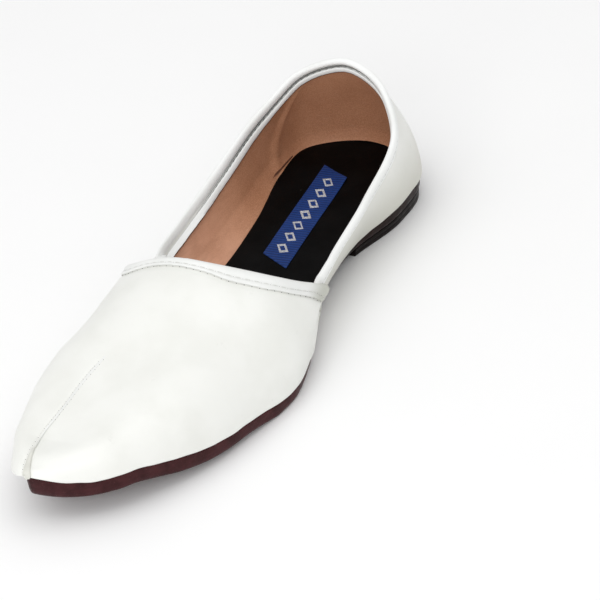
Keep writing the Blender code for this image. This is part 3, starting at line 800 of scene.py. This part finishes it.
# How far the insole's edge stands inside the feather line, for each station and side.
SOCK_IN = (
    (0, 3.5, 3.5), (0.05, 3.6, 3.6), (0.14, 4.2, 4.4), (0.2, 4.8, 5.6), (0.3, 4.3, 6),
    (0.37, 3.8, 5.4), (0.5, 3.6, 5), (0.65, 4, 4.2), (0.85, 4.2, 4.2), (1, 4.5, 4.5),
)
LINING_SHORT = 4.2  # how far under the topline it ends
COVE = 10.0  # height over the seat where the lining leaves the wall to run out over the floor
COVE_ROWS = 9
LINING_ROWS = 26
LINING_COLUMNS = 60, 80  # on the vamp and on a quarter
# Front edge of the heel counter, felt through the lining: climb, place.
COUNTER = ((0.0, 8.02), (0.2, 8.05), (0.4, 8.16), (0.6, 8.38), (0.75, 8.68), (0.9, 9.05), (1.0, 9.35))
COUNTER_RISE = 0.95


def sock_in(side, station):
    return by_side(side, curve(SOCK_IN, station, 1), curve(SOCK_IN, station, 2))


def lining_place(side, climb, share):
    """Share 0 to 0.5 lies on the vamp, the rest on the quarters."""
    back = throat_place(side, climb)
    return np.where(share <= 0.5, back * share * 2, back + (HEEL_PLACE - back) * (share - 0.5) * 2)


def lining_grid(side, share):
    """The lining's inner face on one side, with each point's climb and the place at its foot."""
    low = lining_place(side, 0 * share, share)
    station = station_of(low)
    wall = wall_height(station)
    start = np.minimum(COVE / (3 * WALL_PULL * wall) * 0.92, 0.55)
    heights = climbs_up(start, 1 - LINING_SHORT / wall * step_up(0.48, 0.5, share), LINING_ROWS, LINING_ROWS)
    rows = []
    for climb in heights:
        place = lining_place(side, climb, share)
        rows.append(skin(side, place, climb) - skin_normal(side, place, climb) * LINING_IN)
    reach = sock_in(side, station)
    floor, corner = (in_from_edge(side, low, far) for far in (reach + 1.6, 2.4 + 0.35 * (reach - 3.5)))
    floor, corner = (lift(plan, seat(plan) + INSOLE_BOTTOM - 0.1) for plan in (floor, corner))
    rows = bent(floor, corner, rows[0], np.linspace(0, 0.9, COVE_ROWS)) + rows
    climbs = np.array([0 * share] * COVE_ROWS + heights)
    return np.array(rows), climbs, np.broadcast_to(low, climbs.shape)


def make_lining():
    front, rear = LINING_COLUMNS
    share = runs(0, (0.5, front + 1), (1, rear + 1))
    over_quarters = slice(COVE_ROWS + LINING_ROWS - 1, None), slice(front, None)
    sheet = both_sides(lambda side: lining_grid(side, share), over_quarters)
    points, faces, normal, _, climbs, places = sheet
    behind = places - np.interp(climbs, *zip(*COUNTER))
    inward = COUNTER_RISE * step_up(-0.10, 0.14, behind) + 0.40 * hump(behind, 0.10, 0.10)
    inward += 0.22 * ripple(points, 22, 8) + 0.08 * ripple(points, 7, 9)
    inward *= 1 - step_up(0.93, 1.0, climbs)
    inner = points - normal * inward[:, None]
    outer = points + normal * (LINING_IN - LINING_OUT)
    make_piece("lining", *shell(outer, inner, faces), lining_skin, "tan_lining")


# ---- throat band, collar, toe fold

# Section of the throat band: distance forward of the vamp's back edge, height over the vamp.
BAND = (
    (6.75, -0.1), (7, 0.12), (7.02, 0.36), (6.85, 0.56), (6.3, 0.68), (5.7, 0.72), (5.2, 0.66),
    (4.9, 0.5), (4.65, 0.4), (4.4, 0.46), (4.1, 0.66), (3.4, 0.84), (2.4, 0.92), (1.5, 0.92),
    (0.8, 0.8), (0.1, 0.56), (-0.5, 0.15), (-0.9, -0.45), (-1, -1.2), (-0.85, -2), (-0.4, -2.6),
    (0.4, -2.95), (1.6, -3.05), (4.4, -2.95), (4.8, -2.5), (4.6, -1.6), (6, -0.9),
)
BAND_REACH = 7.6  # where the vamp is drawn in at the band's front edge
BAND_WIDE = 6.9  # from where forward a section's points move by the whole of BAND_WIDER
# How much wider or narrower than its section the band is, on each side: climb, millimetres.
BAND_WIDER = {
    1: (
        (0, -5), (0.6, -4.8), (0.78, -2.2), (0.9, 3.2), (1, 4.4), (1.1, 2.9), (1.25, 1.2), (1.55, 0.9),
        (1.7, 0.3), (1.8, -1.2), (1.9, -2.2), (2, -2.5),
    ),
    -1: ((0.0, 0.4), (1.0, 0.3), (1.15, -0.2), (1.3, -0.6), (1.5, -1.3), (1.7, -2.1), (2.0, -2.5)),
}
BAND_LOW = 1.5  # how much lower it lies on the right-hand corner
BAND_PULL = 3.4  # spacing of the small puckers along the band's lower edge
# Section of the collar's binding: outwards of the topline, and up from it. The last rows are the
# strip inside, whose lower edge hangs as low as COLLAR_DROP says.
COLLAR = (
    (0, -4.3), (0.34, -4.2), (0.5, -3.9), (0.52, -3.3), (0.34, -2.9), (0.38, -2.6), (0.66, -2.2),
    (0.9, -1.6), (1.05, -0.8), (1.1, 0), (1.02, 0.7), (0.76, 1.3), (0.34, 1.75), (-0.2, 2), (-0.75, 2),
    (-1.25, 1.72), (-1.68, 1.2), (-1.95, 0.5), (-2.08, -0.3), (-2.08, -0.9), (-1.92, -1.5),
    (-1.45, -2.1), (-1.08, -2.8), (-1.1, -3.4), (-1.5, -3.8), (-2.05, -3.6), (-2.4, -3.05),
    (-2.72, -2.8), (-3.02, -2.95), (-3.24, -3.5), (-3.44, -4.3), (-3.58, -5.2), (-3.42, -5.5),
    (-2, -5.6), (-1, -5.2),
)
# How low that edge hangs: place, millimetres.
COLLAR_DROP = (
    (6.2, -0.6), (6.6, 0.1), (7, 0.2), (7.5, 0.4), (7.9, 0.3), (8.3, -0.5), (8.7, -0.2), (10, -0.6),
)
COLLAR_SINK = 1.8, 0.7  # how far its ends dip under the throat band, left and right
COLLAR_FADE = 11.0, 5.0  # over which they do
COLLAR_START = 0.14, 0.03  # how far they go on under it, in places
CREASE = 7.86, 8.62  # places between which the lining comes off the insole


def band_path():
    """Sides and climbs along the band, from its left foot over the crest to its right one."""
    climbs = [np.linspace(-0.05, 0.88, 22), np.linspace(0.90, 1.14, 26), np.linspace(1.16, 2, 56)]
    climbs = np.concatenate(climbs)
    return np.repeat([1.0, -1.0], [len(climbs), len(climbs) - 1]), np.concatenate([climbs, climbs[-2::-1]])


def band_wider(side, climb):
    return by_side(side, *(curve(BAND_WIDER[key], climb) for key in (1, -1)))


def on_band(side, climb, forward, height):
    """Points over the vamp's back edge."""
    above = np.maximum(climb, 0.0)
    forward = forward + band_wider(side, above) * np.clip(forward / BAND_WIDE, 0, 1)
    back = throat_place(side, above)
    short = 0.05
    width = np.linalg.norm(skin(side, back, above) - skin(side, back * (1 - short), above), axis=1)
    share = 1 - short * forward / width
    place = back * share
    low_corner = by_side(side, 0, BAND_LOW * hump(above, 0.96, 0.19))
    wing = step_up(0.84, 0.98, above)
    height = np.where(height < -0.8, -0.8 + (height + 0.8) * wing, height)
    height = height * np.where((side > 0) & (height > 0), 0.45 + 0.55 * step_up(0.70, 0.90, above), 1)
    stand = lap(side, share, above) + height - low_corner
    point = skin(side, place, above) + skin_normal(side, place, above) * stand[:, None]
    tuck = np.minimum(climb, 0)[:, None] * 60
    return point + lift(outward(side, place)[1], 0 * place) * tuck


def make_band():
    side, climb = band_path()
    along = length_along(on_band(side, climb, 0, 0))
    pucker = np.cos(2 * np.pi * along / BAND_PULL)
    uneven = wavy(along, 9, 10)
    sections = []
    for forward, height in BAND:
        low = np.clip((forward - 5.0) / 2.0, 0, 1)
        shift = low * (0.16 * pucker + 0.22 * uneven)
        swell = 1 + low * 0.12 * pucker + 0.05 * uneven
        sections.append(on_band(side, climb, forward + shift, height * swell))
    sections = np.stack(sections, axis=1)
    make_piece("throat_fold", *sweep(sections), band_leather, "white_edging", "throat_band")
    rows = {}
    for name, forward, height in (("band_row", 4.65, 0.47), ("band_edge", 7.2, -0.06)):
        path, above = (on_band(side, climb, forward, height + more) for more in (0, 1))
        rows[name] = path[3:-3], (above - path)[3:-3]
    return rows


def collar_path():
    """Sides and places along the topline, from the left end round the heel to the right one."""
    fronts = (throat_place(side, 1.0) - under for side, under in zip((1.0, -1.0), COLLAR_START))
    left, right = (runs(front, (8.2, 110), (HEEL_PLACE, 90)) for front in fronts)
    return np.repeat([1.0, -1.0], [len(left), len(right) - 1]), np.concatenate([left, right[-2::-1]])


def make_collar():
    side, place = collar_path()
    top = skin(side, place, 1.0)
    out = skin_normal(side, place, 1.0)
    up = unit(top - skin(side, place, 1.0 - 0.03))
    along = length_along(top)
    ends = 1 - step_up(1.0, by_side(side, *COLLAR_FADE), np.minimum(along, along[-1] - along))
    narrow = by_side(side, 0.12, 0.45) * step_up(0.30, 0.38, station_of(place))
    sink = by_side(side, *COLLAR_SINK)
    uneven = 0.035 * wavy(along, 14, 11) + 0.022 * wavy(along, 3.2, 12)
    trim = wavy(along, 5.0, 13)
    drop = curve(COLLAR_DROP, place)
    behind = step_up(8.7, 9.5, place)
    sections = []
    for a, b in COLLAR:
        shift_a = (b > -2.0) * uneven * (a + 0.5)
        shift_b = (b > -2.0) * uneven * (b - 0.2)
        if b > 0:
            shift_b = shift_b - behind * (0.3 + 0.5 * b)
        if a < -1 and b < -3:
            shift_b = -drop * (-b - 3) / 2.6 + (b < -5) * 0.22 * trim
        if a >= 0 and b < -3.5:
            shift_b = 0.12 * trim
        if a < -1:
            shift_a = shift_a - ends * 0.2 * (a + 1)
        shift_b = shift_b - sink * ends * step_up(-3.6, -1.4, b)
        shift_a = shift_a - narrow * min(a, 0) * np.clip((b + 5.2) / 2.4, 0, 1)
        sections.append(top + out * (a + shift_a)[:, None] + up * (b + shift_b)[:, None])
    sections = np.stack(sections, axis=1)
    make_piece("collar_roll", *sweep(sections), painted_light_edging, "white_edging", "collar_binding")
    inward = 1 - narrow[:, None]
    outer_row = top + out * 0.36 - up * (2.85 + sink * 0.25 * ends)[:, None], out
    inner_row = top - out * 1.75 * inward - up * 3.5, up - out
    middle = top - out * 1.5 * inward - up * (3.15 + 0.1 * ends)[:, None]
    # A grey cord laid in the groove between roll and strip: painted shade.
    make_piece("groove_shade_cord", *tube(middle, out, up, 0.42), groove_painted_shade, "white_thread")
    lowest = min(range(len(COLLAR)), key=lambda k: sum(COLLAR[k]))
    inner = slice(2, -2)
    # A dark tube under the strip's lower edge: painted shade of the gap between strip and lining.
    cut = tube(sections[inner, lowest] - up[inner] * 0.12, out[inner], up[inner], 0.22)
    make_piece("lining_painted_shade", *join([cut, crease_painted_shade()]), lining_gap_shade, "tan_lining")
    return {"collar_outer": outer_row, "collar_inner": inner_row}


def crease_painted_shade():
    """A dark tube painted as the shade of the crease where the heel counter pulls the lining off the insole,
    on the right.
    """
    places = np.linspace(*CREASE, 40)
    _, out, station = outward(-1, places)
    off = np.linspace(1, 0, len(places)) ** 1.5
    plan = in_from_edge(-1, places, sock_in(-1, station) - 0.1 - 0.9 * off)
    path = lift(plan, seat(plan) + INSOLE_TOP + 0.2 + 1.3 * off)
    size = 0.05 + 0.42 * step_up(CREASE[0], 8.0, places)
    return tube(path, lift(out, 0 * places), lift(0 * out, 0 * places + 1), size)


# Section of the toe fold: share of the way from the stitch row to the folded edge, millimetres
# past that, height.
FOLD = (
    (0, 0.75, -0.12), (0, 0.8, 0.16), (0, 1.05, 0.4), (0.4, 0.2, 0.56), (0.8, 0, 0.56),
    (1, -0.3, 0.52), (1, 0.05, 0.42), (1, 0.1, 0.28), (1, -0.2, 0.14), (1, -0.3, -0.1),
    (0.9, -0.2, -0.35), (0, 0.55, -0.35),
)
DOUBLE_FROM = 27  # how far up the toe the second row of stitches begins


def nearest(tree, point):
    """The nearest point on a surface, and its normal."""
    spot, normal, _, _ = tree.find_nearest(Vector(point))
    return np.array(spot), np.array(normal)


def make_fold(vamp_points, vamp_faces):
    """The dart's folded strip, laid on the vamp beside its stitches."""
    vamp = BVHTree.FromPolygons([Vector(p) for p in vamp_points], vamp_faces)
    path, along = seam_line()
    up = np.linspace(-1.2, 68.4, 110)
    start, ahead = (at(np.maximum(up, 0) + more, along, path) for more in (0, 0.5))
    way = unit(ahead - start)
    start += way * np.minimum(up, 0)[:, None]
    edge, row = (curve(DART, up, k) for k in (1, 2))
    fade = (1 - step_up(*DART_FADE, up)) * 0.85 + 0.15
    fade *= 1 - step_up(65.5, 68.4, up) * 0.9
    wobble = wavy(up, 5, 14) * 0.10
    thick = 1.5 - 0.5 * step_up(8, 26, up)
    sections, holes = [], []
    for k in range(len(up)):
        across = unit(np.cross(way[k], nearest(vamp, start[k])[1]))
        if across[0] < 0:
            across = -across
        ring = []
        for share, past, height in FOLD:
            off = row[k] + (edge[k] - row[k]) * share + past * fade[k] + wobble[k] * share
            spot, normal = nearest(vamp, start[k] + across * off)
            ring.append(spot + normal * (height if height < 0 else height * fade[k] * thick[k]))
        sections.append(ring)
        holes.append([nearest(vamp, start[k] + across * off) for off in (row[k], edge[k] + 0.1)])
    make_piece("toe_fold", *sweep(np.array(sections)), toe_leather, "white_leather")
    holes = np.array(holes)
    upper = holes[up > DOUBLE_FROM]
    return {"dart": (holes[:, 0, 0], holes[:, 0, 1]), "dart_upper": (upper[:, 1, 0], upper[:, 1, 1])}


# ---- thread

# Row: spacing, stitch length, radius of the thread, radius of the dark discs painted as needle-hole shade.
ROWS = {
    "band_row": (4.1, 2.7, 0.16, 0.22),
    "band_edge": (3.4, 2.5, 0.12, 0.20),
    "dart": (2.6, 1.3, 0.13, 0.52),
    "dart_upper": (2.9, 1.2, 0.10, 0.46),
    "collar_outer": (3.3, 2.7, 0.13, 0.33),
    "collar_inner": (3.3, 2.0, 0.16, 0.34),
}
GREY_ROWS = "band_row", "collar_outer"


def stitches(path, normal, pitch, length, radius, sink=0.10):
    """Stitches along a path, each a short bent thread whose ends dive into the leather.

    The second thing it returns is the distance along the path of the hole after each stitch.
    """
    normal, along = unit(normal), length_along(path)
    t = np.linspace(-1, 1, 7)
    middles = np.arange(pitch, along[-1] - pitch, pitch)
    made = []
    for middle in middles:
        where = middle + t * length / 2
        up = at(where, along, normal)
        line = at(where, along, path) + up * (radius * 0.55 - (radius + sink) * t**4)[:, None]
        way = unit(np.gradient(line, axis=0))
        across = unit(np.cross(way, up))
        made.append(tube(line, across, np.cross(across, way), radius * (1 - 0.35 * t**6), 6))
    return join(made), middles + pitch / 2


def pits(path, normal, where, radius, rise=0.08, sides=8):
    """Small dark domed discs at distances along a path: painted shade of needle holes."""
    along = length_along(path)
    turn = np.linspace(0, 2 * np.pi, sides, endpoint=False)
    faces = []
    for i in range(sides):
        j = (i + 1) % sides
        faces += [[i, j, sides], [j, i, sides + 1]]
    made = []
    for centre, up in zip(at(where, along, path), at(where, along, unit(normal))):
        across = unit(np.cross(up, [0.3, 0.5, 0.8]))
        other = np.cross(up, across)
        rim = centre + radius * (np.outer(np.cos(turn), across) + np.outer(np.sin(turn), other)) - up * 0.15
        made.append((np.vstack([rim, centre + up * rise, centre - up * 0.25]), faces))
    return join(made)


# ---- insole and label

LABEL = ((-11.3, 115.8), (15.6, -7.2), (4.9, -70.0))  # heel corner, then its short and long edges
LABEL_SIZE = np.array([17, 71])  # by which distances from its rim are reckoned
LABEL_THICK = 0.35
LOZENGES = 7


def around(section, across):
    """For each point round a closed section: the two rows it lies between, and how far along.

    Where the side changes there are as many as across says.
    """
    for k, row in enumerate(section):
        follow = (k + 1) % len(section)
        steps = across if row[0] != section[follow][0] else 1
        yield from ((k, follow, step / steps) for step in range(steps))


def slab(places, section, across, bulge=None, depth=None):
    """Closed solid from rows of (side, distance inside the feather line, height over the seat).

    Where the side changes, across is the number of points. With a depth, heights are shares of it.
    """
    plans = [in_from_edge(side, places, far) for side, far, _ in section]
    points = []
    for k, follow, t in around(section, across):
        height, other = section[k][2], section[follow][2]
        spot = plans[k] * (1 - t) + plans[follow] * t
        z = seat(spot) + (height * (1 - t) + other * t) * (depth(spot) if depth else 1)
        if bulge:
            z = z + bulge(spot, height, t)
        points.append(lift(spot, z))
    return sweep(np.stack(points, axis=1), False)


def sock_top(plan):
    """Height of the insole's top over the seat: dished a little along its middle at the heel."""
    station = station_at(plan)
    dish = hump(plan[..., 0], curve(CREST_LEFT, station), 16)
    return -0.35 * dish * (1 - step_up(0.35, 0.55, station))


def make_insole():
    places = runs(0, (1, 30), (9, 130), (10, 40))
    station = station_of(places)
    profile = [(far, INSOLE_TOP - down) for far, down in ((1.3, 0), (0.6, 0.12), (0.18, 0.5), (0.0, 1.1))]
    profile.append((0.12, INSOLE_BOTTOM))
    left, right = ([(side, sock_in(side, station) + far, z) for far, z in profile] for side in (1, -1))

    def bulge(plan, height, t):
        if height < INSOLE_TOP - 0.05:
            return 0.0
        return sock_top(plan) * (t > 0) + 0.10 * ripple(lift(plan, 0 * plan[:, 0]), 16, 15)

    make_piece("insole_sock", *slab(places, left + right[::-1], 40, bulge), sock, "black_sock", "insole")


def label_point(u, v, height):
    corner, short, long = (np.array(pair) for pair in LABEL)
    plan = corner + np.multiply.outer(u, short) + np.multiply.outer(v, long)
    return lift(plan, seat(plan) + INSOLE_TOP + sock_top(plan) + height)


def make_label():
    wide, high = LABEL_SIZE
    u, v = np.meshgrid(np.linspace(0, 1, 25), np.linspace(0, 1, 91))
    rim = np.minimum.reduce([u * wide, (1 - u) * wide, v * high, (1 - v) * high])
    curl = 0.5 * np.exp(-((u - 1) ** 2 * wide**2 + v**2 * high**2) / 30)
    wave = 0.10 * ripple(np.stack([u * wide, v * high, 0 * u], axis=-1), 9, 16).reshape(u.shape)
    top = label_point(u, v, 0.15 + LABEL_THICK * (1 - 0.5 * hump(rim, 0, 0.35)) + curl + wave)
    low = label_point(u, v, 0.02 + curl + np.minimum(wave, 0))
    faces = grid_faces(*u.shape).tolist()
    made = make_piece("label", *shell(top.reshape(-1, 3), low.reshape(-1, 3), faces), ribbon, "blue_label")
    parts = [lozenge(0.13 + 0.74 * k / (LOZENGES - 1)) for k in range(LOZENGES)]
    motif = make_piece("label_motif", *join(parts), silver, "blue_label")


def lozenge(middle, half_u=0.27, half_v=0.052, hollow=0.42):
    """A woven lozenge outline on the label."""
    corners = np.array([(0, 1), (1, 0), (0, -1), (-1, 0)], float)
    outline = []
    for corner, follow in zip(corners, np.roll(corners, -1, axis=0)):
        outline += [corner * (1 - t) + follow * t for t in np.linspace(0, 1, 8, endpoint=False)]
    across, along = np.array(outline).T
    rings = []
    for share in np.linspace(0, 1, 7):
        scale = hollow + (1 - hollow) * share
        crown = 0.22 * np.sin(np.pi * share) ** 0.5
        spots = 0.5 + across * half_u * scale, middle + along * half_v * scale
        rings.append(label_point(*spots, 0.45 + crown - 0.06))
    points, faces = sweep(np.stack(rings), False)
    return shell(points, points - [0, 0, 0.25], faces)


# ---- sole and heel

# Section of the sole's edge and channel: distance inside, and height as a share of its thickness.
SOLE_EDGE = (
    (0.5, -0.01), (0.10, -0.04), (0.0, -0.12), (0.0, -0.34), (0.0, -0.62), (0.15, -0.75), (0.5, -0.88),
    (1.0, -0.96), (1.7, -1.0),
)
SOLE_THICK = 6.5  # to which the channel's depths are given
CHANNEL = ((2.9, 0.0), (4.2, 0.0), (4.6, 0.45), (5.2, 0.45), (5.6, 0.0), (8.0, 0.0))
HEEL_BREAST = 0.25  # station of its front face
HEEL_IN = 0.8  # how much further in than the sole it stands
# Section of the heel lift: distance inside, share of its height.
HEEL_EDGE = (
    (0.1, 1), (0, 0.96), (0.25, 0.62), (0.34, 0.585), (0.27, 0.55), (0.55, 0.14), (0.75, 0.05), (1.1, 0),
)


def make_outsole():
    places = runs(0, (1.2, 46), (9, 170), (10, 46))
    station = station_of(places)
    base = column("sole_in", station)
    profile = SOLE_EDGE + tuple((far, -1 + rise / SOLE_THICK) for far, rise in CHANNEL)
    halves = []
    for side in (1, -1):
        rows = []
        further = by_side(side, 0, curve(SOLE_IN_RIGHT, station) * step_up(0, 0.22, places))
        for k, (far, height) in enumerate(profile):
            line = lift(feather(side, places), np.full(len(places), k * 0.6))
            cut = 0.16 * ripple(line, 12, 17 + side) + 0.05 * ripple(line, 3.5, 19)
            rows.append((side, base + further + far + (cut if k < len(SOLE_EDGE) else 0), height))
        halves.append(rows)
    made = slab(places, halves[0] + halves[1][::-1], 16, depth=sole_depth)
    make_piece("sole", *made, brown, "brown_sole", "outsole", angle=70)


def make_heel():
    places = np.linspace(place_of(HEEL_BREAST), HEEL_PLACE, 90)
    base = column("sole_in", station_of(places)) + HEEL_IN
    left, right = ([(side, base + far, share) for far, share in HEEL_EDGE] for side in (1, -1))
    section = left + right[::-1]
    rings = []
    for side, far, share in section:
        plan = in_from_edge(side, places, far)
        rings.append(lift(plan, (seat(plan) - sole_depth(plan) - 0.05) * share))
    points = [rings[k] * (1 - t) + rings[follow] * t for k, follow, t in around(section, 12)]
    make_piece("heel_lift", *sweep(np.stack(points, axis=1)), dark, "dark_heel", "heel", angle=50)


# ---- the shoe

vamp_points, vamp_faces = make_vamp()
make_quarters()
make_lining()
lines = {**make_band(), **make_collar(), **make_fold(vamp_points, vamp_faces)}
make_insole()
make_label()
make_outsole()
make_heel()

sewn = {"white": [], "grey": []}
hole_shade_discs = []
for name, (pitch, length, radius, prick) in ROWS.items():
    made, ends = stitches(*lines[name], pitch, length, radius)
    sewn["grey" if name in GREY_ROWS else "white"].append(made)
    hole_shade_discs.append(pits(*lines[name], ends, prick))
make_piece("band_stitches", *join(sewn["grey"]), grey_thread, "white_thread")
make_piece("stitches", *join(sewn["white"]), thread, "white_thread")
make_piece("needle_hole_shade", *join(hole_shade_discs), hole, "white_thread")

# ---- floor, light and camera

EYE_TURN, EYE_RISE, EYE_ROLL = np.radians([33.85, 34.35, -9.9])
EYE_SHIFT = (-30.66, -15.71)
EYE_DISTANCE = 1360.8
LENS = 184.76
AIM = Vector((0, 0, 0.03))
# Soft box: place in metres, its two sides, power.
LIGHTS = {
    "key": ((-0.6, -0.8, 1.5), (1.3, 1.3), 4),
    "top": ((0.3, 0.0, 1.8), (1.5, 1.5), 6.5),
    "front": ((0.45, -1.4, 0.8), (1.3, 0.9), 7),
}

floor_mesh = bpy.data.meshes.new("floor")
floor_mesh.from_pydata([(-3, -3, 0), (3, -3, 0), (3, 3, 0), (-3, 3, 0)], [], [(0, 1, 2, 3)])
floor = bpy.data.objects.new("floor", floor_mesh)
bpy.context.scene.collection.objects.link(floor)
pale, paler = (0.955, 0.955, 0.955), (0.97, 0.97, 0.97)
paper = mottled("floor_paper", ((60, 2),), paler, pale, (), (40, 2, 0.75, 0.85), ((0.01, (1.5, 2)),), 0.2)
floor_mesh.materials.append(paper)

for name, (place, size, power) in LIGHTS.items():
    light = bpy.data.lights.new(name, "AREA")
    light.shape = "RECTANGLE"
    light.size, light.size_y = size
    light.energy = power
    made = bpy.data.objects.new(name, light)
    made.location = place
    made.rotation_euler = (AIM - Vector(place)).to_track_quat("-Z", "Y").to_euler()
    bpy.context.scene.collection.objects.link(made)

world = bpy.data.worlds.new("studio")
bpy.context.scene.world = world
world.use_nodes = True
sky = world.node_tree.nodes["Background"].inputs
sky["Color"].default_value = (1.0, 1.0, 1.0, 1.0)
sky["Strength"].default_value = 0.68
bpy.context.scene.view_settings.view_transform = "Standard"

back = np.array([
    np.sin(EYE_TURN) * np.cos(EYE_RISE),
    -np.cos(EYE_TURN) * np.cos(EYE_RISE),
    np.sin(EYE_RISE),
])
level = unit(np.array([-back[1], back[0], 0.0]))
upright = np.cross(back, level)
right = np.cos(EYE_ROLL) * level + np.sin(EYE_ROLL) * upright
upright = -np.sin(EYE_ROLL) * level + np.cos(EYE_ROLL) * upright
eye = (back * EYE_DISTANCE - right * EYE_SHIFT[0] - upright * EYE_SHIFT[1] + CENTRE) * MM
camera = bpy.data.objects.new("camera", bpy.data.cameras.new("camera"))
camera.data.lens = LENS
camera.data.clip_start = 0.01
turned = Matrix((right, upright, back)).transposed().to_4x4()
camera.matrix_world = Matrix.Translation(eye) @ turned
bpy.context.scene.collection.objects.link(camera)
bpy.context.scene.camera = camera
